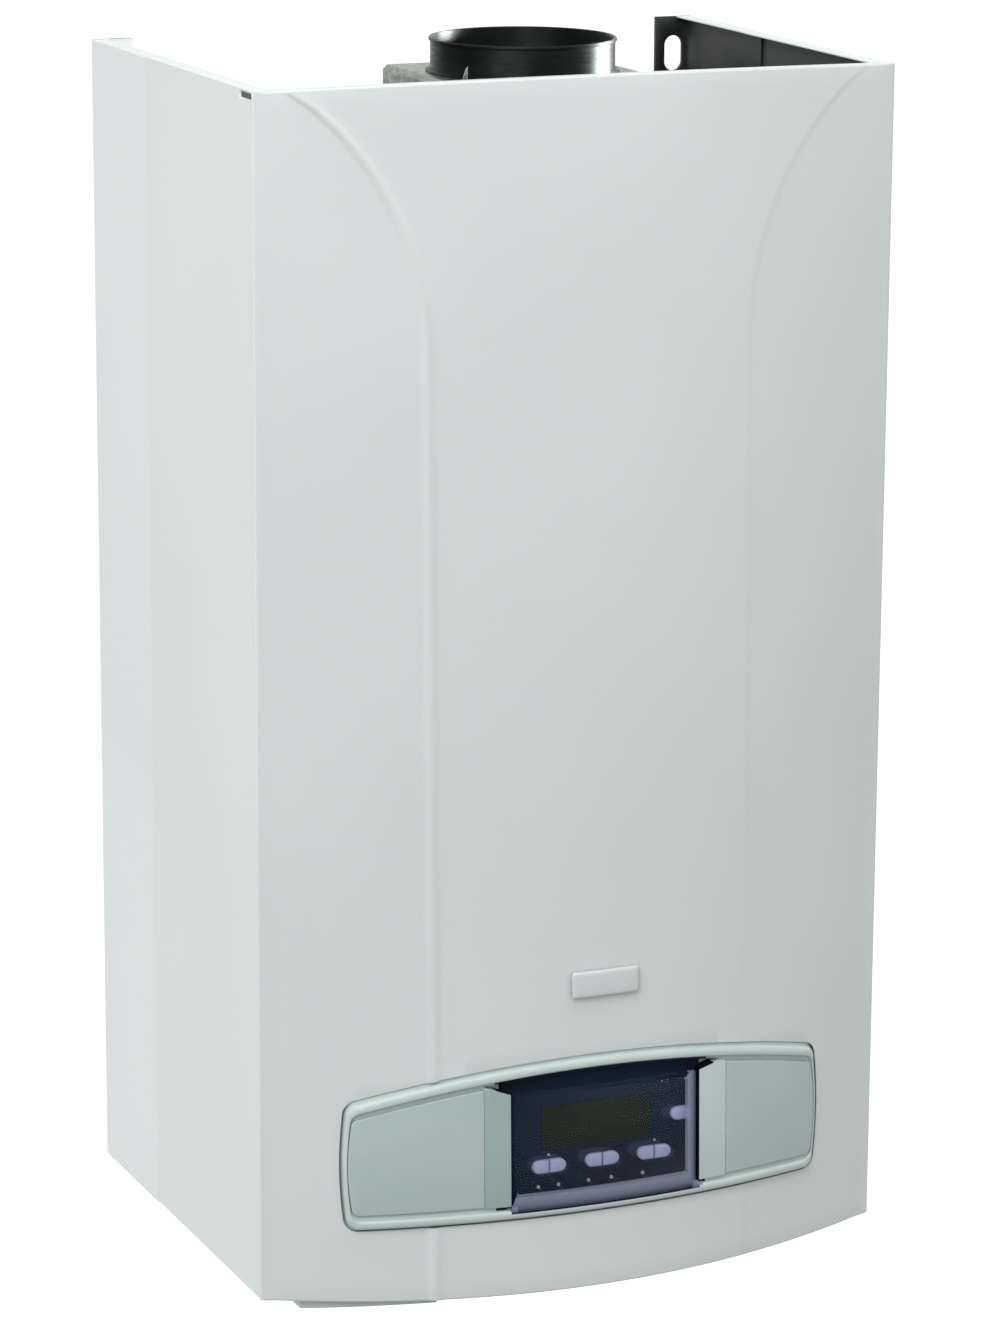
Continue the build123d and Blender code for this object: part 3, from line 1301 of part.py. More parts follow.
def vessel_disc(inset, rim):
    """Round flat vessel with dished shoulders and a pressed seam of a given height."""
    rear_y = -vessel_rear - inset
    front = -vessel_rear - vessel_depth + inset
    mid_y = (rear_y + front) / 2
    radius = vessel_radius - inset
    flat = vessel_radius - vessel_shoulder
    bulge_y = 0.3 * vessel_shoulder
    bulge_z = flat + 0.75 * (radius - flat)
    with BuildPart(mode=Mode.PRIVATE) as disc:
        with BuildSketch(Plane.YZ):
            with BuildLine():
                Line((rear_y, 0), (rear_y, flat))
                ThreePointArc((rear_y, flat), (rear_y - bulge_y, bulge_z), (rear_y - vessel_shoulder, radius))
                Line((rear_y - vessel_shoulder, radius), (front + vessel_shoulder, radius))
                ThreePointArc((front + vessel_shoulder, radius), (front + bulge_y, bulge_z), (front, flat))
                Polyline((front, flat), (front, 0), (rear_y, 0))
            make_face()
            if rim:
                with Locations((mid_y, radius + rim / 2 - sheet)):
                    Rectangle(2 * sheet, rim + 2 * sheet)
        revolve(axis=Axis.Y)
    return disc.part


with BuildPart() as expansion_vessel:
    add(vessel_disc(0, vessel_rim).moved(Location((0, 0, vessel_z))))
    nipple_drop = sqrt(vessel_radius ** 2 - vessel_pipe_x ** 2)
    pipe_y = manifold_back - vessel_pipe_radius - stub_wall
    rod((vessel_pipe_x, pipe_y, vessel_z - nipple_drop - nipple_length), (0, 0, 1), 2 * nipple_length,
        vessel_pipe_radius + sheet)
    add(vessel_disc(vessel_sheet, 0).moved(Location((0, 0, vessel_z))), mode=Mode.SUBTRACT)
    rod((vessel_pipe_x, pipe_y, vessel_z - nipple_drop - nipple_length), (0, 0, 1), 2 * nipple_length,
        vessel_pipe_radius - sheet, mode=Mode.SUBTRACT)
save(expansion_vessel.part, "expansion_vessel")

with BuildPart() as heating_pipes:
    flow_route = [serpentine_start, (-heating_pipe_x, tube_ys[0], tube_z),
                  (-heating_pipe_x, tube_ys[0], flow_pipe_foot[2]), flow_pipe_foot]
    add(bent_tube(flow_route, heating_pipe_radius, heating_pipe_radius - heating_pipe_wall, heating_pipe_bend))
    pump_port = (return_x + volute_radius + 2, -return_pipe_from_wall, pump_z)
    return_route = [serpentine_end, (heating_pipe_x, serpentine_end[1], tube_z),
                    (heating_pipe_x, -return_pipe_from_wall, tube_z - 2 * heating_pipe_bend),
                    (heating_pipe_x, -return_pipe_from_wall, pump_z), pump_port]
    add(bent_tube(return_route, heating_pipe_radius, heating_pipe_radius - heating_pipe_wall,
                  0.95 * heating_pipe_bend))
    vessel_foot_z = return_top_z + flange / 2
    vessel_head_z = vessel_z - nipple_drop - nipple_length
    rod((vessel_pipe_x, pipe_y, vessel_foot_z), (0, 0, 1), vessel_head_z - vessel_foot_z, vessel_pipe_radius)
save(heating_pipes.part, "heating_pipes")

# ---------------------------------------------------------------- connection plate and lock nuts

stub_radii = (large_stub_radius, small_stub_radius, large_stub_radius, small_stub_radius, large_stub_radius)
stub_xs = (flow_x, hot_x, 0.0, cold_x, return_x)
with BuildPart() as connection_plate:
    slab(-inner_half, inner_half, -plate_depth, -2 * sheet - fit_gap, plate_z, plate_z + plate_thickness)
    slab(-inner_half, inner_half, -plate_depth, -plate_depth + plate_thickness, plate_z, plate_z + plate_fold)
    for x, radius in zip(stub_xs, stub_radii):
        rod((x, connection_y, plate_z - sheet), (0, 0, 1), 2 * plate_thickness,
            radius + neck_step + plate_hole_gap, mode=Mode.SUBTRACT)
    rod((filling_tap_x, connection_y, plate_z - sheet), (0, 0, 1), 2 * plate_thickness,
        filling_tap_radius + plate_hole_gap, mode=Mode.SUBTRACT)
save(connection_plate.part, "connection_plate")

with BuildPart() as lock_nuts:
    for x, radius in zip(stub_xs, stub_radii):
        with BuildSketch(Plane.XY.offset(plate_z - nut_height)):
            with Locations((x, connection_y)):
                RegularPolygon(radius + nut_over_thread, 6)
                Circle(radius + neck_step + running_gap, mode=Mode.SUBTRACT)
        extrude(amount=nut_height)
save(lock_nuts.part, "lock_nuts")

# ---------------------------------------------------------------- key sizes, printed

print("slots at z 0, casing from", round(floor_z, 1), "to", round(top_z, 1))
print("flue axis", (0, -flue_from_wall), "collar", round(hood_top_z, 2), round(hood_top_z + collar_height, 2))
print("flap axis", round(flap_axis_y, 3), round(level(flap_axis_level), 3))
print("box axis", round(box_axis_y, 3), round(box_axis_z, 3))
print("gauge", gauge_x, -gauge_from_wall, round(tray_floor_z, 2))
print("stubs", stub_xs, connection_y, round(level(-stub_drop), 2))
print("pump", return_x, round(pump_z, 2), "turbine", cold_x, round(turbine_z, 2))
print("safety", return_x, round(safety_z, 2), "tap", filling_tap_x, "stem", flow_x)
print("least bend radius of a pipe", round(0.95 * heating_pipe_bend, 1))
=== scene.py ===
import json
from math import atan2, cos, pi, radians, sin, sqrt

import bmesh
import bpy
from mathutils import Matrix, Vector

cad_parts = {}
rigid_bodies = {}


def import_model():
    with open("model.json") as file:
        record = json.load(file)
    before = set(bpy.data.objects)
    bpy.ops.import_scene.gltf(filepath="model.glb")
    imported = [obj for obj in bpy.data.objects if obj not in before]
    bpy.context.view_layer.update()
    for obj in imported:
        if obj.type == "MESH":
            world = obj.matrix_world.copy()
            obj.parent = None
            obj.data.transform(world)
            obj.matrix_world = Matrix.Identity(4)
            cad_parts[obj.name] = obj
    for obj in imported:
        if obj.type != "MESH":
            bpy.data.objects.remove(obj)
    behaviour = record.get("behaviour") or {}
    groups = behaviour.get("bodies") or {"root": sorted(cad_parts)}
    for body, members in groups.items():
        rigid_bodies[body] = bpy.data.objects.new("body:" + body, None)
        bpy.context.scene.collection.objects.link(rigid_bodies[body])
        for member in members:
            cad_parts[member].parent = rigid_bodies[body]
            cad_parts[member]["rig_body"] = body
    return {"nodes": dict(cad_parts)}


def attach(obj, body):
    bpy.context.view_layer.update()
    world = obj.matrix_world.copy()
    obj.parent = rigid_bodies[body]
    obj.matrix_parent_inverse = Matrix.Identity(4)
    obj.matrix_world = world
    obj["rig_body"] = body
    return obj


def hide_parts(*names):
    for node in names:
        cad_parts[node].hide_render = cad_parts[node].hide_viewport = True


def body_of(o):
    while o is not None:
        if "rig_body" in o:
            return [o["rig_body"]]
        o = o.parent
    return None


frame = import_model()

# Wall-hung combination boiler with an open flue: finishes, light, and the pieces
# that are shaped more finely than the solids that carry them.
# +X is to the right, +Y into the wall, +Z up; lengths are written in millimetres.

MM = 0.001
scene = bpy.context.scene
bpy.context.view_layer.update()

# ---- sizes, in millimetres

casing_half = 215.0
casing_height = 763.0
casing_floor = -738.0
casing_top = 25.0
side_depth = 303.0
bow_at_bottom = 42.0
bow_at_top = 16.0
cover_sheet = 1.2

field_half = 108.5
field_arch_start = 600.0
field_arch_radius = 201.0
field_raise = 0.3           # step of the middle field at each crease
crease_reach = 6.0          # half the width of the pressed step
soft_crease_reach = 3.4     # the same for the softer crease on the right
left_bead = 1.3             # height of the bead along the left crease
right_bead = 0.12           # and along the right one
crease_bead_out = 4.5       # the bead's slope away from the middle field
crease_bead_in = 6.0        # its slope towards the middle field
edge_fold = 2.6             # rounding where the cover folds back at its sides
top_rise = 3.0              # arch of the cover's top edge
bottom_fall = 6.0           # sag of its bottom edge
roll = 1.6                  # outside radius of the rolled top and bottom edges
roll_flange = 8.0           # width of the flanges behind them

fascia_half = 163.5
fascia_bottom = 46.0
fascia_corner = 127.0
fascia_top = 147.0
fascia_bulge = 2.0
fascia_radius = 8.0
fascia_gap = 1.8
slot_drop = 8.0             # from the fascia's top edge down to the slot over the flap
recess_y = -0.8             # floor of the wing recesses, in front of the bowed cover
middle_stand = 3.0          # how far the middle part stands before it
wing_left = -77.0           # where the wing recesses end
wing_right = 92.0
window_left = -60.0
window_right = 72.0
window_low = 50.0
window_high = 128.6
panel_y = -333.0            # face of the display surround
bend_step = 7.0             # spacing of the cuts along which flat pieces are bent


def level(height):
    """Height above the casing's bottom, as a z value in millimetres."""
    return casing_floor + height


def bow(z):
    """How far the cover's middle stands before its corners at one level."""
    return bow_at_bottom + (bow_at_top - bow_at_bottom) * (z - casing_floor) / casing_height


def front_y(x, z):
    """Where the cover's outside stands."""
    depth = bow(z)
    radius = (casing_half ** 2 + depth ** 2) / (2 * depth)
    return radius - depth - side_depth - sqrt(radius ** 2 - x ** 2)


# ---- working in edit mode

weld_reach = 1e-6           # distance in metres at which a cut or a weld takes two points as one
trim_reach = 1e-4           # the same for cuts that drop one side


def deselect():
    """Leave nothing selected, in object mode."""
    if bpy.context.object and bpy.context.object.mode != "OBJECT":
        bpy.ops.object.mode_set(mode="OBJECT")
    bpy.ops.object.select_all(action="DESELECT")


def take(piece):
    """Make one piece the only one selected."""
    deselect()
    piece.select_set(True)
    bpy.context.view_layer.objects.active = piece
    return piece


def edit(piece, kind="FACE"):
    """Open a piece in edit mode with nothing selected."""
    take(piece)
    bpy.ops.object.mode_set(mode="EDIT")
    bpy.ops.mesh.select_mode(type=kind)
    pick_none()


def pick_all():
    """Select all of the open piece."""
    bpy.ops.mesh.select_all(action="SELECT")


def pick_none():
    """Select nothing of the open piece."""
    bpy.ops.mesh.select_all(action="DESELECT")


def pick(piece, test, kind="faces"):
    """Select the faces, edges or vertices of the open piece that pass a test."""
    for part in getattr(bmesh.from_edit_mesh(piece.data), kind):
        if test(part):
            part.select_set(True)
    bmesh.update_edit_mesh(piece.data)


def divide(point, across, near=weld_reach, **dropped):
    """Divide the open piece along the plane through a point in millimetres, and drop one side if asked."""
    pick_all()
    bpy.ops.mesh.bisect(plane_co=[value * MM for value in point], plane_no=across, threshold=near, **dropped)


def shift_picked(x, y, z):
    """Move what is selected in the open piece, in millimetres."""
    bpy.ops.transform.translate(value=(x * MM, y * MM, z * MM))


def face_outward():
    """Turn every normal of the open piece outward."""
    pick_all()
    bpy.ops.mesh.normals_make_consistent(inside=False)


def close(piece):
    """Leave edit mode."""
    bpy.ops.object.mode_set(mode="OBJECT")
    return piece


def place_mesh(mesh, name):
    """Put a mesh into the scene as a piece."""
    piece = bpy.data.objects.new(name, mesh)
    scene.collection.objects.link(piece)
    return piece


def skin(name, points, edges, faces):
    """New piece from points in millimetres."""
    mesh = bpy.data.meshes.new(name)
    mesh.from_pydata([[value * MM for value in point] for point in points], edges, faces)
    return place_mesh(mesh, name)


def join(piece, *others):
    """Make several pieces one piece."""
    take(piece)
    for other in others:
        other.select_set(True)
    bpy.ops.object.join()
    return piece


def settle(piece, name, angle):
    """Put a piece's place into its mesh, name it and shade it smooth up to an angle between faces."""
    take(piece)
    bpy.ops.object.transform_apply()
    bpy.ops.object.shade_smooth_by_angle(angle=radians(angle))
    piece.name = name
    piece.data.name = name
    return piece


def fit(piece, body, slot, *nodes, also=()):
    """Let a piece ride on its body, take its finishes and stand for CAD nodes."""
    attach(piece, body)
    if nodes:
        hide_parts(*nodes)
    kept = [face.material_index for face in piece.data.polygons]
    piece.data.materials.clear()
    for finish in (slot,) + tuple(also):
        piece.data.materials.append(finishes[finish])
    for face, place in zip(piece.data.polygons, kept):
        face.material_index = min(place, len(also))
    return piece


def colour_faces(piece, place, test):
    """Give the faces that pass a test another of the piece's finishes."""
    for face in piece.data.polygons:
        if test(face.center / MM, face.normal):
            face.material_index = place


def shaped(piece, kind, **settings):
    """Put one modifier on a piece and apply it."""
    take(piece)
    made = piece.modifiers.new("shaping", kind)
    for name, value in settings.items():
        setattr(made, name, value)
    bpy.ops.object.modifier_apply(modifier=made.name)
    return piece


def bevelled(piece, width, segments=3, angle=30.0):
    """Round a piece's edges with an applied bevel."""
    return shaped(piece, "BEVEL", width=width * MM, segments=segments, limit_method="ANGLE",
                  angle_limit=radians(angle), use_clamp_overlap=True)


def cut(piece, cutter):
    """Cut a piece with another one, which is used up."""
    shaped(piece, "BOOLEAN", operation="DIFFERENCE", object=cutter, solver="EXACT")
    bpy.data.objects.remove(cutter)
    return piece


def box(low, high):
    """Box between two corners in millimetres, the start of a folded or moulded piece."""
    deselect()
    centre = [(a + b) / 2 * MM for a, b in zip(low, high)]
    bpy.ops.mesh.primitive_cube_add(size=1, location=centre)
    piece = bpy.context.object
    piece.scale = [(b - a) * MM for a, b in zip(low, high)]
    bpy.ops.object.transform_apply()
    return piece


def rod(centre, radius, length, turn, sides, rounding, steps=2):
    """Round rod with eased ends, in millimetres."""
    deselect()
    bpy.ops.mesh.primitive_cylinder_add(vertices=sides, radius=radius * MM, depth=length * MM,
                                        location=[value * MM for value in centre], rotation=turn)
    piece = bpy.context.object
    bpy.ops.object.transform_apply()
    return bevelled(piece, rounding, steps, 40)


def loft(rings, name):
    """Skin through rings of points in millimetres, all with the same count, closed at both ends."""
    count = len(rings[0])
    faces = []
    for row in range(len(rings) - 1):
        for place in range(count):
            after = (place + 1) % count
            faces.append((row * count + place, row * count + after,
                          (row + 1) * count + after, (row + 1) * count + place))
    faces.append(tuple(reversed(range(count))))
    faces.append(tuple((len(rings) - 1) * count + place for place in range(count)))
    piece = skin(name, [point for ring in rings for point in ring], [], faces)
    edit(piece)
    face_outward()
    return close(piece)


def prism(outline, y_front, y_back, name):
    """Straight block between two depths over an outline of x and z values."""
    return loft([[(x, y, z) for x, z in outline] for y in (y_front, y_back)], name)


def bend_to_front(piece, x_low, x_high):
    """Divide a flat piece along upright lines and lay it on the cover's bowed front."""
    edit(piece)
    count = int((x_high - x_low) / bend_step) + 1
    for place in range(count + 1):
        divide((x_low + (x_high - x_low) * place / count, 0, 0), (1, 0, 0))
    close(piece)
    for point in piece.data.vertices:
        point.co.y += front_y(point.co.x / MM, point.co.z / MM) * MM
    return piece


# ---- finishes


def linear(colour):
    """Linear colour of one sRGB hex value."""
    parts = [int(colour[place:place + 2], 16) / 255 for place in (1, 3, 5)]
    return tuple(p / 12.92 if p <= 0.04045 else ((p + 0.055) / 1.055) ** 2.4 for p in parts) + (1.0,)


def per_size(millimetres):
    """Pattern scale at which one cell or wave of a pattern has that real size."""
    return 1.0 / (millimetres * MM)


def add(tree, kind, inputs=(), **settings):
    """Add one node with its settings, its values and its links."""
    made = tree.nodes.new("ShaderNode" + kind)
    for name, value in settings.items():
        setattr(made, name, value)
    for socket, value in dict(inputs).items():
        if isinstance(value, bpy.types.NodeSocket):
            tree.links.new(value, made.inputs[socket])
        else:
            made.inputs[socket].default_value = value
    return made


def surface(name, colour, roughness, metallic=0.0, **others):
    """New material with one principled shader; returns it with its tree, shader and Object coordinates."""
    material = bpy.data.materials.new(name)
    material.use_nodes = True
    material.diffuse_color = linear(colour)
    tree = material.node_tree
    shader = tree.nodes["Principled BSDF"]
    shader.inputs["Base Color"].default_value = linear(colour)
    shader.inputs["Roughness"].default_value = roughness
    shader.inputs["Metallic"].default_value = metallic
    for socket, value in others.items():
        shader.inputs[socket.replace("_", " ")].default_value = value
    place = add(tree, "TexCoord").outputs["Object"]
    return material, tree, shader, place


def patterned(tree, shader, drift, low, high, grain, dull, bright, depth):
    """Drift between two colours, and a grain in the gloss and in the relief, whose depth is in millimetres."""
    share = add(tree, "MapRange", {"Value": drift, "From Min": 0.35, "From Max": 0.65})
    shade = add(tree, "Mix", {0: share.outputs["Result"], 6: linear(low), 7: linear(high)}, data_type="RGBA")
    sheen = add(tree, "MapRange", {"Value": grain, "From Min": 0.3, "From Max": 0.7, "To Min": bright, "To Max": dull})
    relief = add(tree, "Bump", {"Height": grain, "Distance": depth * MM})
    tree.links.new(shade.outputs[2], shader.inputs["Base Color"])
    tree.links.new(sheen.outputs["Result"], shader.inputs["Roughness"])
    tree.links.new(relief.outputs["Normal"], shader.inputs["Normal"])


def painted_sheet(name, low, high, roughness, peel_size, peel_depth):
    """Stoved paint on sheet metal: broad faint tone drift and a fine orange-peel skin."""
    material, tree, shader, place = surface(name, high, roughness)
    drift = add(tree, "TexNoise", {"Vector": place, "Scale": per_size(180), "Detail": 2.0})
    peel = add(tree, "TexNoise", {"Vector": place, "Scale": per_size(peel_size), "Detail": 1.0})
    patterned(tree, shader, drift.outputs["Fac"], low, high, peel.outputs["Fac"], roughness + 0.05, roughness - 0.04,
              peel_depth)
    return material


def moulded(name, low, high, roughness, grain_size=0.9, grain_depth=0.006, **others):
    """Injection-moulded plastic: the fine spark texture of the tool, drawn a little coarse to show."""
    material, tree, shader, place = surface(name, high, roughness, **others)
    drift = add(tree, "TexNoise", {"Vector": place, "Scale": per_size(60), "Detail": 2.0})
    grain = add(tree, "TexNoise", {"Vector": place, "Scale": per_size(grain_size), "Detail": 2.0})
    patterned(tree, shader, drift.outputs["Fac"], low, high, grain.outputs["Fac"], roughness + 0.06, roughness - 0.05,
              grain_depth)
    return material


def coated_sheet(name, low, high, roughness, crystal_size, depth=0.01):
    """Zinc- or aluminium-coated sheet: crystals a few millimetres wide, some duller than others."""
    material, tree, shader, place = surface(name, high, roughness, 1.0)
    crystal = add(tree, "TexVoronoi", {"Vector": place, "Scale": per_size(crystal_size)}, feature="F1")
    parts = add(tree, "SeparateColor", {"Color": crystal.outputs["Color"]})
    patterned(tree, shader, parts.outputs["Red"], low, high, parts.outputs["Green"], roughness + 0.09,
              roughness - 0.07, depth)
    return material


def worked_metal(name, low, high, roughness, mark_size, depth, stretch=(1, 1, 1), brushed=0.0):
    """Bare metal: tool marks or casting skin drawn out along one direction, and slight tarnish."""
    material, tree, shader, place = surface(name, high, roughness, 1.0, Anisotropic=brushed)
    upright = add(tree, "CombineXYZ", {"Z": 1.0})
    tree.links.new(upright.outputs["Vector"], shader.inputs["Tangent"])
    drawn = add(tree, "Mapping", {"Vector": place, "Scale": stretch})
    marks = add(tree, "TexNoise", {"Vector": drawn.outputs["Vector"], "Scale": per_size(mark_size), "Detail": 3.0})
    stain = add(tree, "TexNoise", {"Vector": place, "Scale": per_size(35), "Detail": 3.0})
    patterned(tree, shader, stain.outputs["Fac"], low, high, marks.outputs["Fac"], roughness + 0.1, roughness - 0.08,
              depth)
    return material


def clear_moulding(name, colour, ior, roughness, transmission, mirror, body=1.0):
    """Clear plastic or glass with faint flow waves; mirror and body set how much its own surface shows."""
    material, tree, shader, place = surface(name, colour, roughness, IOR=ior, Transmission_Weight=transmission,
                                            Specular_IOR_Level=mirror, Alpha=body)
    waves = add(tree, "TexNoise", {"Vector": place, "Scale": per_size(30), "Detail": 1.0})
    flow = add(tree, "Bump", {"Height": waves.outputs["Fac"], "Distance": 0.002 * MM})
    tree.links.new(flow.outputs["Normal"], shader.inputs["Normal"])
    light = add(tree, "LightPath")
    clear = add(tree, "BsdfTransparent", {"Color": linear(colour)})
    mixed = add(tree, "MixShader", {"Fac": light.outputs["Is Shadow Ray"], 1: shader.outputs["BSDF"],
                                    2: clear.outputs["BSDF"]})
    tree.links.new(mixed.outputs["Shader"], tree.nodes["Material Output"].inputs["Surface"])
    return material


finishes = {
    # stoved white enamel on sheet steel: clean, softly glossy, faint orange peel
    "white_enamel": painted_sheet("white_stoved_enamel", "#ccd2d1", "#cfd5d4", 0.34, 2.6, 0.006),
    # the same enamel on the side sheets, a little cooler and greener
    "side_enamel": painted_sheet("side_stoved_enamel", "#d0d8d6", "#d3dbd9", 0.36, 2.6, 0.006),
    # hot-dip galvanised sheet: grey with crystals a few millimetres wide
    "galvanised": coated_sheet("galvanised_sheet", "#949a98", "#a5aba9", 0.42, 6.0),
    # thick folded steel given a near-black colour: painted shade and a painted dark reflection for the dim casing round
    # the brackets, dull and near black
    "dark_bracket": painted_sheet("steel_painted_dark_for_shade", "#17191a", "#1e2021", 0.45, 1.8, 0.015),
    # dark grey-green on the inside of the side sheets: painted shade for the dim inside of the casing, dull and dark
    "inside_painted_shade": painted_sheet("grey_green_painted_shade", "#2c3432", "#39423f", 0.55, 2.2, 0.01),
    # the rear part of the sides, behind the pressed step: the same enamel, a trace lighter and less green
    "rear_enamel": painted_sheet("rear_stoved_enamel", "#d7dbdb", "#dadede", 0.36, 2.6, 0.006),
    # zinc-plated screws and pins: bright with fine turning marks
    "zinc": worked_metal("zinc_plated_steel", "#a7a69c", "#bdbdb6", 0.33, 0.8, 0.006),
    # aluminised sheet: matt silvery grey-green
    "aluminised": coated_sheet("aluminised_sheet", "#868f89", "#939c95", 0.40, 3.0, 0.003),
    # rolled and polished steel collar: its very dark colour is a painted reflection of dark surroundings, with a clear
    # soft highlight from the rim lamp and faint rolling lines
    "collar_steel": worked_metal("dark_steel_painted_reflection", "#1c201e", "#272c29", 0.5, 2.5, 0.001, (0.2, 0.2, 2),
                                 brushed=0.9),
    # black nylon caps and connectors: matt moulding
    "black_plastic": moulded("black_moulded_nylon", "#131414", "#191a1a", 0.48),
    # ceramic fibre board: matt off-white with short fibres
    "insulation": moulded("ceramic_fibre_board", "#d3cfc2", "#e0ddd1", 0.93, 1.6, 0.25),
    # copper tube: drawn, with brown tarnish in patches
    "copper": worked_metal("drawn_copper_tube", "#8a4f36", "#b8744f", 0.30, 1.5, 0.006),
    # stainless sheet: rolled, with a fine brushed line
    "stainless": worked_metal("rolled_stainless_sheet", "#a5a5a1", "#b9b9b5", 0.28, 0.9, 0.005, (0.1, 1, 1)),
    # machined brass: yellow, with fine lathe lines
    "brass": worked_metal("machined_brass", "#a8874a", "#c5a462", 0.30, 0.7, 0.006),
    # glazed ceramic sleeves of the electrodes: glossy off-white
    "ceramic": moulded("glazed_ceramic", "#e2dfd6", "#ece9e0", 0.18, 3.0, 0.006),
    # die-cast aluminium: fine rough skin
    "alloy": worked_metal("die_cast_aluminium", "#a2a5a6", "#b5b8b9", 0.46, 1.0, 0.03),
    # red paint on the pressed vessel
    "vessel_paint": painted_sheet("red_stoved_paint", "#90201a", "#9e2822", 0.38, 3.0, 0.02),
    # painted cast body: rough sand-cast skin under dark paint
    "cast_body": painted_sheet("painted_cast_iron", "#3c4042", "#474b4d", 0.52, 1.6, 0.09),
    # dark paint on the pump: bluish black, satin
    "pump_paint": painted_sheet("dark_pump_paint", "#22282d", "#2b3238", 0.42, 2.0, 0.03),
    # glass-filled plastic of the impeller: dark, slightly rough
    "impeller_plastic": moulded("glass_filled_plastic", "#232425", "#2c2d2e", 0.5, 0.7, 0.02),
    # white acetal turbine: clean, satin
    "turbine_white": moulded("white_acetal", "#dcdcd7", "#e5e5e0", 0.4),
    # fluted knobs under the casing: one black, one blue, both satin
    "knob_black": moulded("black_fluted_knob", "#141415", "#1b1b1c", 0.42),
    "knob_blue": moulded("blue_fluted_knob", "#1c3a70", "#24447e", 0.42),
    # pale grey moulded control box
    "box_grey": moulded("pale_grey_moulding", "#bcc4c2", "#c4cbca", 0.5),
    # circuit board: glossy green resist over copper tracks
    "board_green": moulded("solder_resist_green", "#124a26", "#185630", 0.35, 2.5, 0.02),
    # satin grey-green fascia moulding
    "fascia_green": moulded("grey_green_moulding", "#b4c2bf", "#b9c7c4", 0.36),
    # wing plates: the same plastic, a shade darker
    "plate_green": moulded("grey_green_wing_plate", "#a3b4b1", "#a8b8b5", 0.40),
    # strip left of the window: darker again, smooth
    "strip_green": moulded("smooth_grey_green_moulding", "#8fa3a3", "#94a8a7", 0.32),
    # display surround: matt very dark blue
    "navy_panel": moulded("dark_blue_moulding", "#0d1a2a", "#122235", 0.6, 0.9, 0.001, Specular_IOR_Level=0.06),
    # dark glass of the display, a touch greener than its surround
    "lcd_glass": moulded("dark_display_glass", "#121c14", "#162118", 0.4, 8.0, 0.001, Specular_IOR_Level=0.06),
    # case of the pressure gauge and the marks on its dial: black, satin
    "gauge_black": moulded("black_gauge_case", "#141414", "#1b1b1b", 0.4),
    # dial of the gauge: clean white, softly glossy
    "gauge_white": moulded("white_dial_enamel", "#e4e6e3", "#e9ebe8", 0.35, 2.0, 0.001),
    # pointer: plain red paint
    "needle_red": moulded("red_pointer_paint", "#a8211a", "#b42a20", 0.4),
    # soft lilac-grey push buttons
    "button_lilac": moulded("lilac_grey_button", "#a3a7c4", "#a9adc9", 0.45),
    # blank badge: pale grey, a little glossier than the enamel round it
    "badge_grey": moulded("pale_badge_plate", "#c4cbca", "#cbd1d0", 0.30),
    # tinted polycarbonate flap: clear, faintly blue, with hardly a reflection
    "tinted_flap": clear_moulding("smoke_tinted_polycarbonate", "#d3dae8", 1.585, 0.0, 1.0, 0.3, 0.07),
    # the flap's thick border: a lighter grey-blue, a painted sheen for the light its sloped edges catch
    "flap_border_sheen": clear_moulding("polycarbonate_edge_painted_sheen", "#a3adc6", 1.585, 0.5, 0.5, 0.3, 0.62),
    # window of the gauge: almost invisible, with a faint gloss
    "gauge_glass": clear_moulding("clear_gauge_window", "#f2f5f5", 1.49, 0.02, 1.0, 0.5, 0.3),
}

slot_of = {}
for name, node in frame["nodes"].items():
    for holder in node.material_slots:
        slot_of[name] = holder.material.name.split(".")[0]
        holder.material = finishes[slot_of[name]]

# ---- camera

camera_data = bpy.data.cameras.new("photograph_view")
camera = bpy.data.objects.new("photograph_view", camera_data)
scene.collection.objects.link(camera)
view_azimuth = radians(-23.09)
view_elevation = radians(13.59)
view_roll = radians(0.33)
back = Vector((sin(view_azimuth) * cos(view_elevation), -cos(view_azimuth) * cos(view_elevation),
               sin(view_elevation)))
right = Vector((0, 0, 1)).cross(back).normalized()
up = back.cross(right)
rolled_right = right * cos(view_roll) + up * sin(view_roll)
rolled_up = up * cos(view_roll) - right * sin(view_roll)
turn = Matrix((rolled_right, rolled_up, back)).transposed()
camera.matrix_world = Matrix.Translation((-1.2117, -3.0216, 0.3778)) @ turn.to_4x4()
camera_data.sensor_width = 36.0
camera_data.lens = 132.77
camera_data.clip_end = 200.0
scene.camera = camera

# ---- light and floor

scene.view_settings.view_transform = "Standard"


def seen_share(tree):
    """One for what the camera sees, directly, mirrored or through glass, and nought for the light it casts."""
    path = add(tree, "LightPath")
    seen = add(tree, "Math", {0: path.outputs["Is Camera Ray"], 1: path.outputs["Is Glossy Ray"]},
               operation="MAXIMUM")
    seen = add(tree, "Math", {0: seen.outputs[0], 1: path.outputs["Is Transmission Ray"]}, operation="MAXIMUM")
    return seen.outputs[0]


world = bpy.data.worlds.new("studio")
scene.world = world
world.use_nodes = True
sky = world.node_tree
sky.nodes.clear()
strength = add(sky, "MapRange", {"Value": seen_share(sky), "To Min": 0.62, "To Max": 1.0})
glow = add(sky, "Background", {"Color": linear("#ffffff"), "Strength": strength.outputs["Result"]})
add(sky, "OutputWorld", {"Surface": glow.outputs["Background"]})

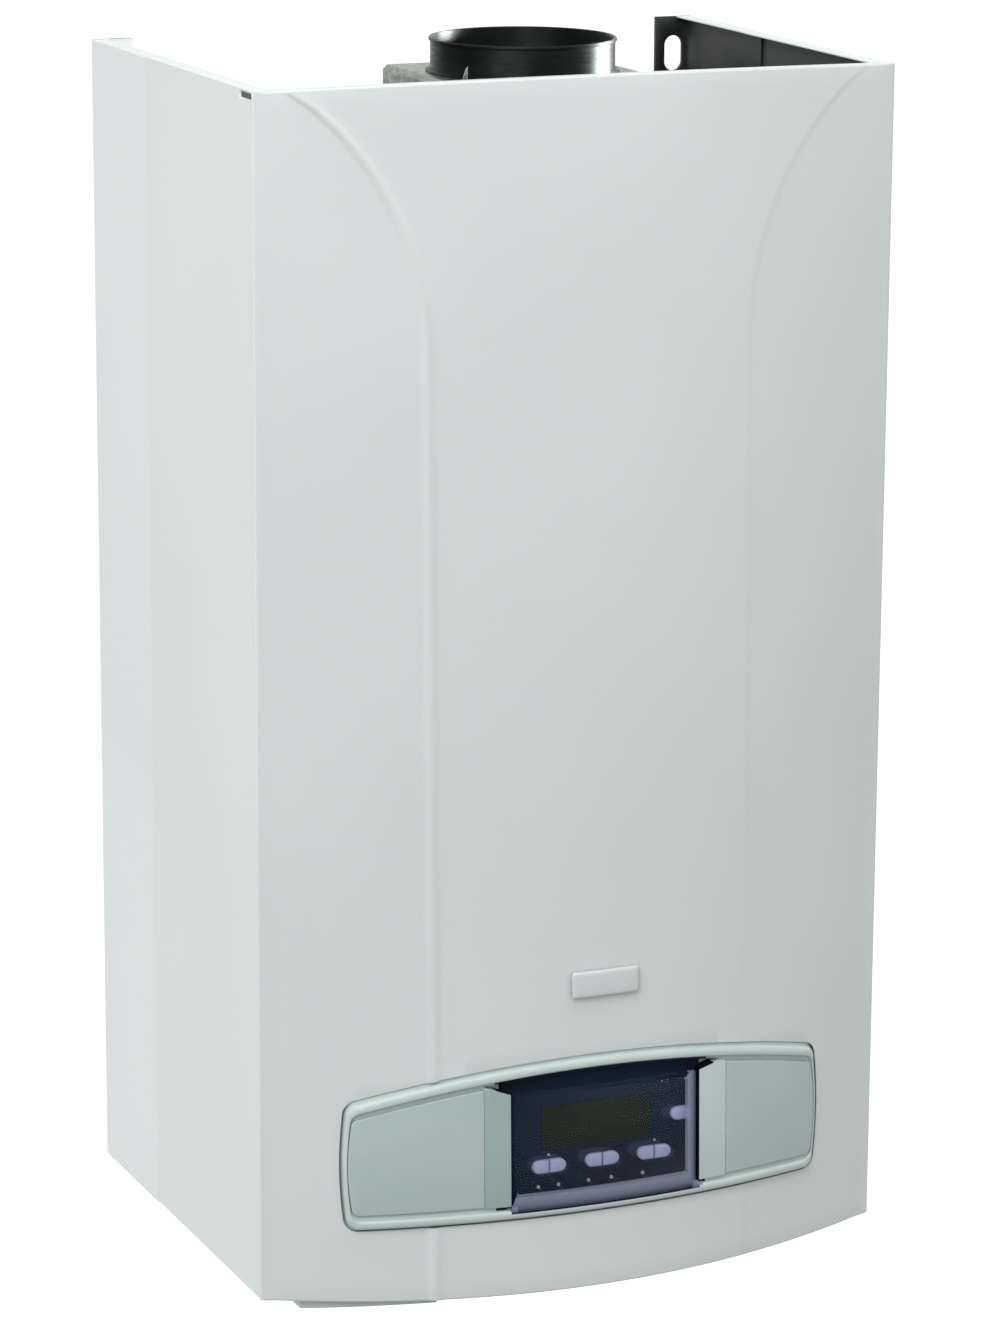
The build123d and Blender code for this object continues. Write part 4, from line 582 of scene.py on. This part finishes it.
deselect()
bpy.ops.mesh.primitive_plane_add(size=60, location=(0, 0, -1.75))
floor = bpy.context.object
floor.name = "studio_floor"
floor_paint = bpy.data.materials.new("pale_floor_paint")
floor_paint.use_nodes = True
ground = floor_paint.node_tree
ground.nodes.clear()
matt = add(ground, "BsdfDiffuse", {"Color": linear("#909090")})
pale = add(ground, "BsdfDiffuse", {"Color": linear("#f0f0f0")})
shine = add(ground, "Emission", {"Color": linear("#ffffff"), "Strength": 0.55})
both = add(ground, "AddShader", {0: pale.outputs["BSDF"], 1: shine.outputs["Emission"]})
chosen = add(ground, "MixShader", {"Fac": seen_share(ground), 1: matt.outputs["BSDF"], 2: both.outputs["Shader"]})
add(ground, "OutputMaterial", {"Surface": chosen.outputs["Shader"]})
floor.data.materials.append(floor_paint)


def lamp(name, place, aim, width, height, power):
    """Soft lamp at a place, facing a point, in metres and watts."""
    data = bpy.data.lights.new(name, "AREA")
    data.shape = "RECTANGLE"
    data.size = width
    data.size_y = height
    data.energy = power
    made = bpy.data.objects.new(name, data)
    scene.collection.objects.link(made)
    away = Vector(place) - Vector(aim)
    made.visible_camera = False
    made.location = place
    made.rotation_euler = away.to_track_quat("Z", "Y").to_euler()
    return made


# a window on the left, weak lamps for the cover, the top, the right edge, the shadows and the left side
lamp("window_light", (-2.4, -2.6, 1.9), (0, -0.2, -0.3), 2.2, 2.2, 71)
lamp("cover_light", (-0.55, -1.2, 0.8), (-0.1, -0.3, -0.05), 0.6, 0.6, 4.4)
lamp("top_light", (0.2, -1.0, 2.6), (0, -0.3, 0), 2.4, 1.6, 26)
lamp("edge_light", (1.95, 0.42, 0.4), (0, -0.2, 0.03), 0.4, 0.5, 14)
lamp("fill_light", (1.6, -2.8, 0.2), (0, -0.25, -0.3), 1.4, 1.4, 6)
lamp("side_light", (-2.6, 0.4, -0.9), (-0.2, -0.1, -0.5), 1.5, 1.5, 16)
# the lamp behind the right side lights the collar alone
rim_light = lamp("rim_light", (1.95, -0.15, 0.15), (0, -0.2, 0.04), 0.8, 0.24, 380)
lit_by_rim = bpy.data.collections.new("lit_by_rim_light")
rim_light.light_linking.receiver_collection = lit_by_rim

# ---- front cover


def crease_x(z):
    """Half width of the raised field at one level."""
    rise = max(0.0, z - level(field_arch_start))
    return field_half + field_arch_radius - sqrt(field_arch_radius ** 2 - rise ** 2)


inner_share, outer_share = 0.52, 0.62       # parts of the half width where the crease begins and ends
inner_steps, crease_steps, outer_steps = 26, 8, 12
fold_steps = 5
roll_steps = 4
cover_levels = 64
edge_zone = 8               # the arch of the top and bottom edges dies out over an eighth of the height
corner_ease = 8.0           # the rolled edges die out over this width beside the side folds


def cover_point(share, z):
    """Point of the cover's outside: share runs from -1 to 1 across its width."""
    edge = crease_x(z)
    reach = crease_reach if share < 0 else soft_crease_reach
    stops = (0.0, edge - reach, edge + reach, casing_half - edge_fold)
    marks = (0.0, inner_share, outer_share, 1.0)
    size = abs(share)
    for place in range(3):
        if size <= marks[place + 1] or place == 2:
            local = (size - marks[place]) / (marks[place + 1] - marks[place])
            x = stops[place] + (stops[place + 1] - stops[place]) * local
            break
    step = min(1.0, max(0.0, (edge + reach - x) / (2 * reach)))
    off = min(1.0, abs(x - edge) / (crease_bead_out if x > edge else crease_bead_in))
    bead = (left_bead if share < 0 else right_bead) * (1 - off * off) ** 2
    return (x if share >= 0 else -x), field_raise * step * step * (3 - 2 * step) + bead


def cover_row(share_z, behind, shift):
    """One level line of the cover's skin, moved back and up along the roll of an edge."""
    row = []
    base_z = level(0) + casing_height * share_z
    shares = [place / inner_steps * inner_share for place in range(inner_steps + 1)]
    shares += [inner_share + place / crease_steps * (outer_share - inner_share) for place in range(1, crease_steps + 1)]
    shares += [outer_share + place / outer_steps * (1 - outer_share) for place in range(1, outer_steps + 1)]
    shares = [-share for share in reversed(shares[1:])] + shares
    for share in shares:
        x, raised = cover_point(share, base_z)
        arch = 1 - (x / casing_half) ** 2
        z = base_z + arch * (top_rise * max(0.0, share_z * edge_zone - (edge_zone - 1))
                             - bottom_fall * max(0.0, 1 - share_z * edge_zone))
        inside = min(1.0, max(0.0, (casing_half - edge_fold - abs(x)) / corner_ease))
        row.append((x, front_y(x, z) - raised + behind * inside, z + shift))
    fold = []
    start_y = front_y(casing_half - edge_fold, base_z)
    for place in range(1, fold_steps + 1):
        turned = radians(90 * place / fold_steps)
        y = start_y + (-side_depth + cover_sheet - start_y) * (1 - cos(turned))
        fold.append((casing_half - edge_fold + edge_fold * sin(turned), y, base_z + shift))
    return [(-x, y, z) for x, y, z in reversed(fold)] + row + fold


roll_turns = [radians(90 * place / roll_steps) for place in range(roll_steps + 1)]
cover_rows = [cover_row(0, roll_flange, 0), cover_row(0, roll + 2, 0)]
cover_rows += [cover_row(0, roll * (1 - sin(turned)), roll * (1 - cos(turned))) for turned in roll_turns[:-1]]
cover_rows += [cover_row(place / cover_levels, 0, roll if place == 0 else 0) for place in range(cover_levels)]
cover_rows += [cover_row(1, roll * (1 - cos(turned)), roll * (sin(turned) - 1)) for turned in roll_turns]
cover_rows += [cover_row(1, roll + 2, 0), cover_row(1, roll_flange, 0)]
width = len(cover_rows[0])
faces = [(r * width + c, r * width + c + 1, (r + 1) * width + c + 1, (r + 1) * width + c)
         for r in range(len(cover_rows) - 1) for c in range(width - 1)]
cover = skin("cover_shell", [point for row in cover_rows for point in row], [], faces)
edit(cover)
pick_all()
bpy.ops.mesh.remove_doubles(threshold=0.02 * MM)
close(cover)
shaped(cover, "SOLIDIFY", thickness=cover_sheet * MM, offset=-1.0)


bend_steps, end_steps, arch_steps = 7, 8, 36


def fascia_ring(ends, lips, radius, y, grow=0.0, end_y=None):
    """Outline of the fascia, drawn in from its ends and from its top and bottom, at one or two depths."""
    half = fascia_half - ends + grow
    low = level(fascia_bottom) + lips - grow
    corner = level(fascia_corner) - lips + grow
    rise = fascia_top - fascia_corner
    slope = 2 * rise / half
    lean = atan2(slope, 1.0)
    middle_x = half - radius
    low_z = low + radius
    high_z = corner + slope * radius - radius / cos(lean)
    end_y = y if end_y is None else end_y
    bend = []
    for place in range(bend_steps + 1):
        turned = radians(-90 + 90 * place / bend_steps)
        bend.append((middle_x + radius * cos(turned), y + (end_y - y) * place / bend_steps,
                     low_z + radius * sin(turned)))
    for place in range(1, end_steps):
        share = place / end_steps
        bend.append((half + fascia_bulge * 4 * share * (1 - share), end_y, low_z + (high_z - low_z) * share))
    for place in range(bend_steps + 1):
        turned = (pi / 2 - lean) * place / bend_steps
        bend.append((middle_x + radius * cos(turned), end_y + (y - end_y) * place / bend_steps,
                     high_z + radius * sin(turned)))
    top_x, depth, top_z = bend[-1]
    arch = []
    for place in range(1, arch_steps):
        share = 1 - 2 * place / arch_steps
        arch.append((top_x * share, y, top_z + (rise - (top_z - corner)) * (1 - share * share)))
    other = [(-x, depth, z) for x, depth, z in reversed(bend)]
    outline = bend + arch + other
    foot = other[-1]
    for place in range(1, arch_steps):
        share = place / arch_steps
        outline.append((foot[0] + (bend[0][0] - foot[0]) * share, y, foot[2]))
    return outline


opening = [(x, z) for x, y, z in fascia_ring(0, 0, fascia_radius + fascia_gap, 0, grow=fascia_gap)]
cut(cover, prism(opening, -420, -250, "fascia_opening"))
bevelled(cover, 0.35, 2, 50)

return_half = 200.0         # the cover's two upright returns stand beside this line
return_back = -289.8        # and end at this depth
inside_skin = 0.9           # they start this far behind the bowed outside
return_parts = []
for side in (-1, 1):
    rings = []
    for z in (level(22), casing_top - 28):
        front = front_y(return_half, z) + inside_skin
        corners = ((199.8, front), (201.2, front), (201.2, return_back), (199.8, return_back))
        rings.append([(side * x, y, z) for x, y in corners])
    return_parts.append(loft(rings, "cover_return"))
    x_low, x_high = sorted((side * 213.4, side * 191.4))
    return_parts.append(box((x_low, -303.2, casing_floor), (x_high, -276, casing_floor + cover_sheet)))
rings = []
for z in (21.8, 23.0):
    edge = [(place * 10.0, front_y(place * 10.0, z) + inside_skin) for place in range(-20, 21)]
    rings.append([(x, y, z) for x, y in edge + [(return_half, return_back), (-return_half, return_back)]])
return_parts.append(loft(rings, "cover_lip"))
for part in return_parts:
    bevelled(part, 0.3, 2, 40)
join(cover, *return_parts)
settle(cover, "cover_shell", 30)
fit(cover, "cover", "white_enamel", "front_cover")

# ---- fascia

# from the skirt inside the cover's opening, over the lip and the groove, down to the recess
fascia = loft([
    fascia_ring(0, 0, fascia_radius, 5.6, grow=1.4),
    fascia_ring(0, 0, fascia_radius, 1.4, grow=1.4, end_y=4.4),
    fascia_ring(0, 0, fascia_radius, 1.0, grow=1.1, end_y=4.0),
    fascia_ring(0, 0, fascia_radius, 0.9, grow=0.1, end_y=3.8),
    fascia_ring(0, 0, fascia_radius, -0.8, end_y=0.0),
    fascia_ring(0.2, 0.3, 7.9, -2.6, end_y=-1.2),
    fascia_ring(0.7, 1.0, 7.7, -3.7, end_y=-2.2),
    fascia_ring(1.2, 1.9, 7.4, -4.2, end_y=-2.8),
    fascia_ring(1.7, 3.0, 7.0, -4.5, end_y=-3.1),
    fascia_ring(1.9, 4.2, 6.7, -4.5, end_y=-3.2),
    fascia_ring(2.1, 5.2, 6.5, -4.2, end_y=-3.1),
    fascia_ring(2.2, 5.9, 6.4, -3.4, end_y=-2.7),
    fascia_ring(2.3, 6.3, 6.3, -1.6, end_y=-1.4),
    fascia_ring(2.5, 9.0, 6.2, recess_y),
], "fascia_moulding")


def slot_top(x):
    """Upper edge of the slot over the flap, parallel to the fascia's top."""
    rise = (fascia_top - fascia_corner) * (1 - (x / fascia_half) ** 2)
    return level(fascia_corner) + rise - slot_drop


# the middle part stands forward of the wing recesses
edit(fascia)
for x in (wing_left, wing_right):
    divide((x, 0, 0), (1, 0, 0))
pick_none()
pick(fascia, lambda face: abs(face.normal.y + 1) < 1e-3
     and abs(face.calc_center_median().y - recess_y * MM) < 1e-5
     and wing_left * MM < face.calc_center_median().x < wing_right * MM)
bpy.ops.mesh.extrude_region_move(TRANSFORM_OT_translate={"value": (0, -middle_stand * MM, 0)})
close(fascia)

slot_steps = 24
slot_low_x = wing_left
slot_high_x = wing_right - 3
slot_outline = [(slot_low_x, slot_top(slot_low_x)), (window_left, level(window_high)),
                (window_left, level(window_low)), (window_right, level(window_low)),
                (window_right, level(window_high)), (slot_high_x, slot_top(slot_high_x))]
slot_outline += [(slot_high_x + (slot_low_x - slot_high_x) * place / slot_steps,
                  slot_top(slot_high_x + (slot_low_x - slot_high_x) * place / slot_steps))
                 for place in range(1, slot_steps)]
cut(fascia, prism(slot_outline, -20, 20, "window_cutter"))
bevelled(fascia, 0.45, 3, 40)
bend_to_front(fascia, -166, 166)

# liner round the window, down to the display surround; its dark navy is painted shade for the deep slot and window well
liner_left, liner_right, liner_steps = -65, 77, 20
liner_outline = [(liner_left, level(46)), (liner_right, level(46))]
for place in range(liner_steps + 1):
    x = liner_right - (liner_right - liner_left) * place / liner_steps
    liner_outline.append((x, slot_top(x) + 3))
liner = prism(liner_outline, -1, 14, "window_liner")
cut(liner, prism(slot_outline, -20, 30, "liner_cutter"))
bend_to_front(liner, liner_left - 1, liner_right + 1)
edit(liner)
divide((0, panel_y - 0.2, 0), (0, 1, 0), trim_reach, clear_outer=True, use_fill=True)
close(liner)
join(fascia, liner)
colour_faces(fascia, 1, lambda middle, normal: normal.y < -0.9 and wing_left < middle.x < 0
             and abs(middle.y - front_y(middle.x, middle.z) - recess_y + middle_stand) < 0.1)
# the slot's walls and the liner take the dark navy: painted shade in the finger slot over the flap
colour_faces(fascia, 2, lambda middle, normal: middle.y - front_y(middle.x, middle.z) > -1.5
             and -70 < middle.x < 80 and level(49) < middle.z < slot_top(middle.x) + 1)
settle(fascia, "fascia_moulding", 32)
fit(fascia, "control_box", "fascia_green", "fascia", also=("strip_green", "navy_panel"))

for side, inner in ((-1, wing_left), (1, wing_right)):
    rings = [fascia_ring(2.7, 9.5, 5.0, -0.7), fascia_ring(2.7, 9.5, 5.0, -3.1),
             fascia_ring(3.0, 9.8, 4.7, -3.5), fascia_ring(3.5, 10.3, 4.3, -3.6)]
    plate = loft(rings, "wing_plate")
    inner += side * 0.4
    edit(plate)
    divide((inner, 0, 0), (-side, 0, 0), trim_reach, clear_outer=True, use_fill=True)
    close(plate)
    bevelled(plate, 0.25, 2, 40)
    x_low, x_high = sorted((inner, side * 165))
    bend_to_front(plate, x_low, x_high)
    settle(plate, "left_wing_plate" if side < 0 else "right_wing_plate", 32)
    fit(plate, "control_box", "plate_green", "fascia_plates")

# ---- tinted flap


corner_steps = 5


def corner_ring(x_low, x_high, z_low, z_high, radius, y):
    """Outline of a rectangle with round corners at one depth."""
    ring = []
    for x, z, start in ((x_high - radius, z_low + radius, -90), (x_high - radius, z_high - radius, 0),
                        (x_low + radius, z_high - radius, 90), (x_low + radius, z_low + radius, 180)):
        for place in range(corner_steps + 1):
            turned = radians(start + 90 * place / corner_steps)
            ring.append((x + radius * cos(turned), y, z + radius * sin(turned)))
    return ring


flap_left, flap_right, flap_low, flap_high = -59.4, 71.4, level(48), level(128)
sheen_right, sheen_low = 8.4, 13.0      # width of the border with the painted sheen, on the right and below
# drawn in from the left, right, bottom and top; corner radius; depth
flap_steps = (
    (3.0, sheen_right, sheen_low, 2.6, 2.5, -4.5),
    (2.2, 6.6, 10.5, 1.9, 2.6, -4.2),
    (1.2, 4.0, 6.5, 1.1, 2.8, -3.2),
    (0.4, 1.6, 2.6, 0.4, 3.0, -1.6),
    (0.0, 0.0, 0.0, 0.0, 3.0, 0.0),
    (0.0, 0.0, 0.0, 0.0, 3.0, 0.9),
    (2.0, 2.0, 2.0, 2.0, 1.5, 0.9),
    (2.2, 2.6, 3.0, 2.2, 1.5, -0.2),
    (3.2, 5.6, 9.0, 3.0, 1.5, -1.6),
    (4.2, 9.2, 14.0, 3.8, 1.5, -2.2),
)
flap = loft([corner_ring(flap_left + l, flap_right - r, flap_low + b, flap_high - t, c, y)
             for l, r, b, t, c, y in flap_steps], "tinted_flap_moulding")
bend_to_front(flap, flap_left, flap_right)
hinge_y, hinge_z = -341.553, -686.0
pins = []
for side, end in ((-1, flap_left), (1, flap_right)):
    # a thick root inside the flap and a thinner pin outside it
    for reach, radius in ((-4.0, 2.7), (3.0, 1.5)):
        pins.append(rod((end + side * reach / 2, hinge_y, hinge_z), radius, abs(reach), (0, pi / 2, 0), 24, 0.3))
join(flap, *pins)
# the border faces take the grey-blue painted sheen
colour_faces(flap, 1, lambda middle, normal: middle.y - front_y(middle.x, middle.z) < -0.5
             and (middle.x > flap_right - sheen_right or middle.z < flap_low + sheen_low))
settle(flap, "tinted_flap_moulding", 40)
fit(flap, "flap", "tinted_flap", "display_flap", also=("flap_border_sheen",))

# ---- display, screen and buttons


pill_steps = 8


def pill_ring(x_low, x_high, z, half, round_low, round_high, y, drawn_in=0.0):
    """Outline of a button at one depth: a bar with round or straight ends."""
    half -= drawn_in
    x_low += drawn_in
    x_high -= drawn_in
    ring = []
    for side, end, rounded in ((1, x_high, round_high), (-1, x_low, round_low)):
        for place in range(pill_steps + 1):
            turned = radians(-90 + 180 * place / pill_steps)
            if rounded:
                ring.append((end + side * half * (cos(turned) - 1), y, z + side * half * sin(turned)))
            else:
                ring.append((end, y, z + side * half * (2 * place / pill_steps - 1)))
    return ring


button_half = 4.3           # half the height of a button
button_gap = 0.35           # play round it
pair_gap = 0.45             # half the gap in a split pill
pair_reach = 11.6           # half the length of a split pill
button_spans = []
for centre in (-30.0, 7.0, 43.4):
    button_spans.append((centre - pair_reach, centre - pair_gap, level(75), True, False))
    button_spans.append((centre + pair_gap, centre + pair_reach, level(75), False, True))
button_spans.append((55.0, 70.0, level(99), True, True))

panel = box((-62.9, panel_y, level(47.1)), (74.9, panel_y + 2.5, level(136.4)))
edit(panel)
# the face is divided between the holes, so that no flat face holds more than two of them
for place, across in ((-11.5, (1, 0, 0)), (25.2, (1, 0, 0)), (49.0, (1, 0, 0)), (level(83), (0, 0, 1))):
    divide([place * part for part in across], across)
close(panel)
for x_low, x_high, z, round_low, round_high in button_spans:
    ring = pill_ring(x_low, x_high, z, button_half, round_low, round_high, 0, -button_gap)
    cut(panel, prism([(x, z) for x, y, z in ring], -350, -320, "button_hole"))
cut(panel, box((-35.3, -350, level(85.2)), (41.3, -320, level(114.8))))
bevelled(panel, 0.3, 2, 40)
settle(panel, "display_surround", 32)
fit(panel, "control_box", "navy_panel", "display_panel")

screen = box((-35, panel_y - 0.4, level(85.5)), (41, panel_y + 5, level(114.5)))
edit(screen)
pick(screen, lambda face: face.normal.y < -0.9)
bpy.ops.mesh.inset(thickness=1.6 * MM, depth=0)
bpy.ops.mesh.inset(thickness=0.35 * MM, depth=-0.3 * MM)
close(screen)
bevelled(screen, 0.2, 2, 40)
settle(screen, "display_screen", 32)
fit(screen, "control_box", "lcd_glass", "lcd_screen")

# a button's skin: depth from the surround's face, and how far its outline is drawn in
cap_steps = ((5.4, 0.0), (-1.7, 0.0), (-2.2, 0.2), (-2.5, 0.7), (-2.6, 1.6))
for number, (x_low, x_high, z, round_low, round_high) in enumerate(button_spans, start=1):
    cap = loft([pill_ring(x_low, x_high, z, button_half, round_low, round_high, panel_y + y, drawn_in)
                for y, drawn_in in cap_steps], "button_cap")
    settle(cap, f"button_cap_{number}", 45)
    fit(cap, f"button_{number}", "button_lilac", f"button_{number}")

# five lenses under the buttons and two small ones over them
lenses = [rod((x, panel_y - 0.2, level(height)), radius, 1.4, (pi / 2, 0, 0), 20, 0.35, 3)
          for x, height, radius in ((-37, 61.6, 1.1), (-23, 61.6, 1.1), (-2, 61.6, 1.1), (14, 61.6, 1.1),
                                    (36, 61.6, 1.1), (-30, 82.4, 0.8), (44, 82.8, 0.8))]
join(*lenses)
settle(lenses[0], "signal_lenses", 40)
fit(lenses[0], "control_box", "button_lilac")

# ---- badge and collar

badge_left, badge_right, badge_low, badge_high = -18.0, 28.0, level(187), level(205)
badge_arch = 1.6            # rise of the badge's top, and the radius of its corners


def badge_ring(drawn_in, y):
    """Outline of the blank badge at one depth, arched at its top."""
    top = badge_high - badge_arch - drawn_in
    middle = (badge_left + badge_right) / 2
    half = (badge_right - badge_left) / 2
    return [(x, depth, z + badge_arch * (1 - ((x - middle) / half) ** 2) * (z > (badge_low + top) / 2))
            for x, depth, z in corner_ring(badge_left + drawn_in, badge_right - drawn_in,
                                           badge_low + drawn_in, top, badge_arch, y)]


badge = loft([badge_ring(0, -2.2), badge_ring(0, -3.0), badge_ring(0.3, -3.7), badge_ring(0.9, -4.0),
              badge_ring(1.8, -4.2), badge_ring(3.0, -4.3), badge_ring(4.4, -4.4)], "blank_badge")
bend_to_front(badge, badge_left, badge_right)
settle(badge, "blank_badge", 40)
fit(badge, "cover", "badge_grey", "badge_plate")


def spun(profile, x, y, name, steps):
    """Piece of revolution round an upright axis, from a closed profile of radius and height."""
    piece = skin(name, [(x + radius, y, z) for radius, z in profile],
                 [(place, (place + 1) % len(profile)) for place in range(len(profile))], [])
    edit(piece, "EDGE")
    pick_all()
    bpy.ops.mesh.spin(steps=steps, angle=2 * pi, center=(x * MM, y * MM, 0), axis=(0, 0, 1))
    pick_all()
    bpy.ops.mesh.remove_doubles(threshold=weld_reach)
    face_outward()
    return close(piece)


# bore, rolled rim, outer wall, and the foot flange on the hood
collar_profile = [(57.0, 18.2), (57.0, 38.9)]
rim_radius = 1.2
collar_profile += [(58.2 + rim_radius * cos(radians(angle)), 39.3 + rim_radius * sin(radians(angle)))
                   for angle in range(150, -91, -30)]
collar_profile += [(58.25, 37.4), (58.2, 30.0), (58.2, 21.2), (58.5, 20.5), (59.2, 20.2), (60.8, 20.1), (61.1, 19.8),
                   (61.1, 19.1), (60, 18.6)]
collar = spun(collar_profile, 0, -210, "flue_collar_ring", 128)
settle(collar, "flue_collar_ring", 40)
fit(collar, "frame", "collar_steel", "flue_collar")
lit_by_rim.objects.link(collar)

# folded lug at the front of the flue hood, beside the collar
lug = box((-70, -272, 12), (-63, -271, 31))
edit(lug)
pick(lug, lambda vertex: vertex.co.z > 30 * MM and vertex.co.x < -69 * MM, "verts")
shift_picked(5.5, 0, -2)
close(lug)
bevelled(lug, 0.3, 2, 40)
settle(lug, "hood_lug", 32)
fit(lug, "frame", "aluminised")

# ---- side sheets


fold_front, fold_rear = -113.0, -107.0      # the upright step pressed into the side
fold_depth = 0.9
flange_width = 10.5
shade_slot, rear_slot = 1, 2


def side_sheet(side):
    """Side sheet folded from one blank: skin, front and top flanges, an upright step, and its small plates."""
    sheet = box((-215, -301.2, casing_floor), (-214, -1, casing_top))
    edit(sheet)
    for y in (-300.2, fold_front, fold_rear, -2):
        divide((0, y, 0), (0, 1, 0))
    divide((0, 0, casing_top - 1), (0, 0, 1))
    pick_none()
    pick(sheet, lambda vertex: vertex.co.y < (fold_front + 1) * MM, "verts")
    shift_picked(fold_depth, 0, 0)
    pick_none()
    bpy.ops.mesh.select_mode(type="FACE")
    pick(sheet, lambda face: face.normal.x > 0.5 and (
        face.calc_center_median().y < -300.2 * MM or face.calc_center_median().z > (casing_top - 1) * MM))
    bpy.ops.mesh.extrude_region_move(TRANSFORM_OT_translate={"value": (flange_width * MM, 0, 0)})
    close(sheet)
    # the front flange ends above the casing's lowest part
    cut(sheet, box((-220, -310, -745), (-200, -299.7, level(88))))
    bevelled(sheet, 0.7, 3, 40)
    relief_hole = box((-220, -299.9, 18.6), (-212.6, -278, 24.2))
    bevelled(relief_hole, 2.4, 4, 40)
    cut(sheet, relief_hole)
    # dark plate behind the relief hole: it carries the painted shade, so that the hole looks dark
    shade_backing = box((-213.05, -299.6, 4), (-212.1, -270, 23.9))
    lug_plate = box((-214.2, -292.5, level(1.6)), (-193.5, -268, level(3.1)))
    bevelled(lug_plate, 0.4, 2, 40)
    inside = [lug_plate, shade_backing]
    if side < 0:
        gusset = box((-204, -46, casing_top - 1), (-187, -2.9, casing_top))
        edit(gusset)
        pick(gusset, lambda vertex: vertex.co.x > -188 * MM and vertex.co.y < -40 * MM, "verts")
        shift_picked(-15.5, 0, 0)
        close(gusset)
        inside.append(bevelled(gusset, 0.25, 2, 40))
    join(sheet, *inside)
    if side > 0:
        edit(sheet)
        pick_all()
        bpy.ops.transform.mirror(constraint_axis=(True, False, False), center_override=(0, 0, 0))
        face_outward()
        close(sheet)
    # the inside faces and the plates behind the relief holes take the painted shade
    colour_faces(sheet, shade_slot, lambda middle, normal: side * normal.x < -0.5 and abs(middle.x) > 205)
    colour_faces(sheet, shade_slot, lambda middle, normal: abs(normal.x) > 0.5 and 211.9 < abs(middle.x) < 213.2)
    colour_faces(sheet, rear_slot, lambda middle, normal: side * normal.x > 0.9 and middle.y > fold_rear)
    hand = "left" if side < 0 else "right"
    settle(sheet, f"{hand}_side_sheet", 32)
    return fit(sheet, "frame", "side_enamel", f"{hand}_side_panel", also=("inside_painted_shade", "rear_enamel"))


side_sheet(-1)
side_sheet(1)

# ---- folded, cast and turned parts with eased edges


def eased(node, name, width):
    """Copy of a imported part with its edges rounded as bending, casting or turning leaves them."""
    original = frame["nodes"][node]
    piece = place_mesh(original.data.copy(), name)
    edit(piece)
    pick_all()
    bpy.ops.mesh.remove_doubles(threshold=weld_reach)
    bpy.ops.mesh.dissolve_limited(angle_limit=radians(0.5))
    close(piece)
    bevelled(piece, width, 3 if width > 1.0 else 2)
    settle(piece, name, 35)
    return fit(piece, body_of(original)[0], slot_of[node], node)


# node, name of the piece, and how far its edges are rounded, in millimetres
eased_parts = {}
for node, name, rounding in (
        ("hanging_brackets", "folded_hanging_brackets", 0.5), ("back_panel", "ribbed_back_sheet", 0.4),
        ("top_cross_rail", "folded_cross_rail", 0.4), ("connection_plate", "folded_connection_plate", 0.5),
        ("box_hinge_pins", "turned_hinge_pins", 0.4), ("draught_hood", "folded_flue_hood", 0.8),
        ("flue_thermostat", "flue_thermostat_button", 0.6), ("combustion_chamber", "folded_chamber_case", 0.4),
        ("chamber_front_panel", "pressed_chamber_panel", 0.6), ("burner_tray", "folded_burner_tray", 0.4),
        ("injector_rail", "injector_tube", 0.4), ("gas_valve_body", "cast_gas_valve", 1.4),
        ("gas_valve_coils", "moulded_valve_coils", 1.0), ("flow_manifold", "cast_flow_manifold", 0.9),
        ("return_manifold", "cast_return_manifold", 0.9), ("valve_motor", "moulded_valve_motor", 1.0),
        ("flow_sensor_body", "moulded_sensor_body", 0.5), ("pump_body", "cast_pump_body", 1.4),
        ("pump_motor", "pump_motor_can", 1.0), ("air_vent", "turned_air_vent", 1.0),
        ("safety_valve_knob", "fluted_safety_knob", 0.6), ("filling_tap_knob", "fluted_filling_knob", 0.6),
        ("lock_nuts", "chamfered_lock_nuts", 0.8), ("gauge_body", "round_gauge_case", 0.5)):
    eased_parts[node] = eased(node, name, rounding)

# the top rail ends short of the side sheets' folded flanges
rail_half = 202.0
for side in (-1, 1):
    edit(eased_parts["top_cross_rail"])
    divide((side * rail_half, 0, 0), (side, 0, 0), trim_reach, clear_outer=True, use_fill=True)
    close(eased_parts["top_cross_rail"])

# ---- gauge and control box tray

gauge_x, gauge_y, dial_z = 120.0, -262.0, -740.0
tick_reach = 16.6           # radius on which the dial's marks begin
tick_count = 12             # spaces between the marks, over three quarters of a turn
gauge_case = eased_parts["gauge_body"]
gauge_case.data.materials.append(finishes["gauge_white"])
colour_faces(gauge_case, 1, lambda middle, normal: normal.z < -0.9 and abs(middle.z - dial_z) < 0.2)

ticks = []
for place in range(tick_count + 1):
    half, length = (0.45, 4.6) if place % 3 == 0 else (0.25, 2.4)
    start = gauge_y - tick_reach
    tick = box((gauge_x - half, start, dial_z - 0.04), (gauge_x + half, start + length, dial_z))
    edit(tick)
    pick_all()
    bpy.ops.mesh.subdivide(number_cuts=1)
    bpy.ops.transform.rotate(value=radians(270 * place / tick_count), orient_axis="Z",
                             center_override=(gauge_x * MM, gauge_y * MM, dial_z * MM))
    ticks.append(close(tick))
join(*ticks)
settle(ticks[0], "gauge_dial_marks", 40)
fit(ticks[0], "control_box", "gauge_black")

# the tray's front ends in a slope up to the cover's bowed lower edge
tray_front = -297.0
tray = eased("control_box_tray", "moulded_control_tray", 1.2)
cut(tray, box((-105, -400, -760), (195, tray_front, -738.6)))
rings = []
for x in range(-106, 197, 6):
    upper_y, lower_y = front_y(x, casing_floor) + 9.6, tray_front + 1.5
    rings.append([(x, upper_y, -739.0), (x, upper_y, -737.5), (x, lower_y, -744.3), (x, lower_y, -745.9)])
join(tray, loft(rings, "tray_front_slope"))
settle(tray, "moulded_control_tray", 35)
eased("control_box_lid", "moulded_control_lid", 0.7)
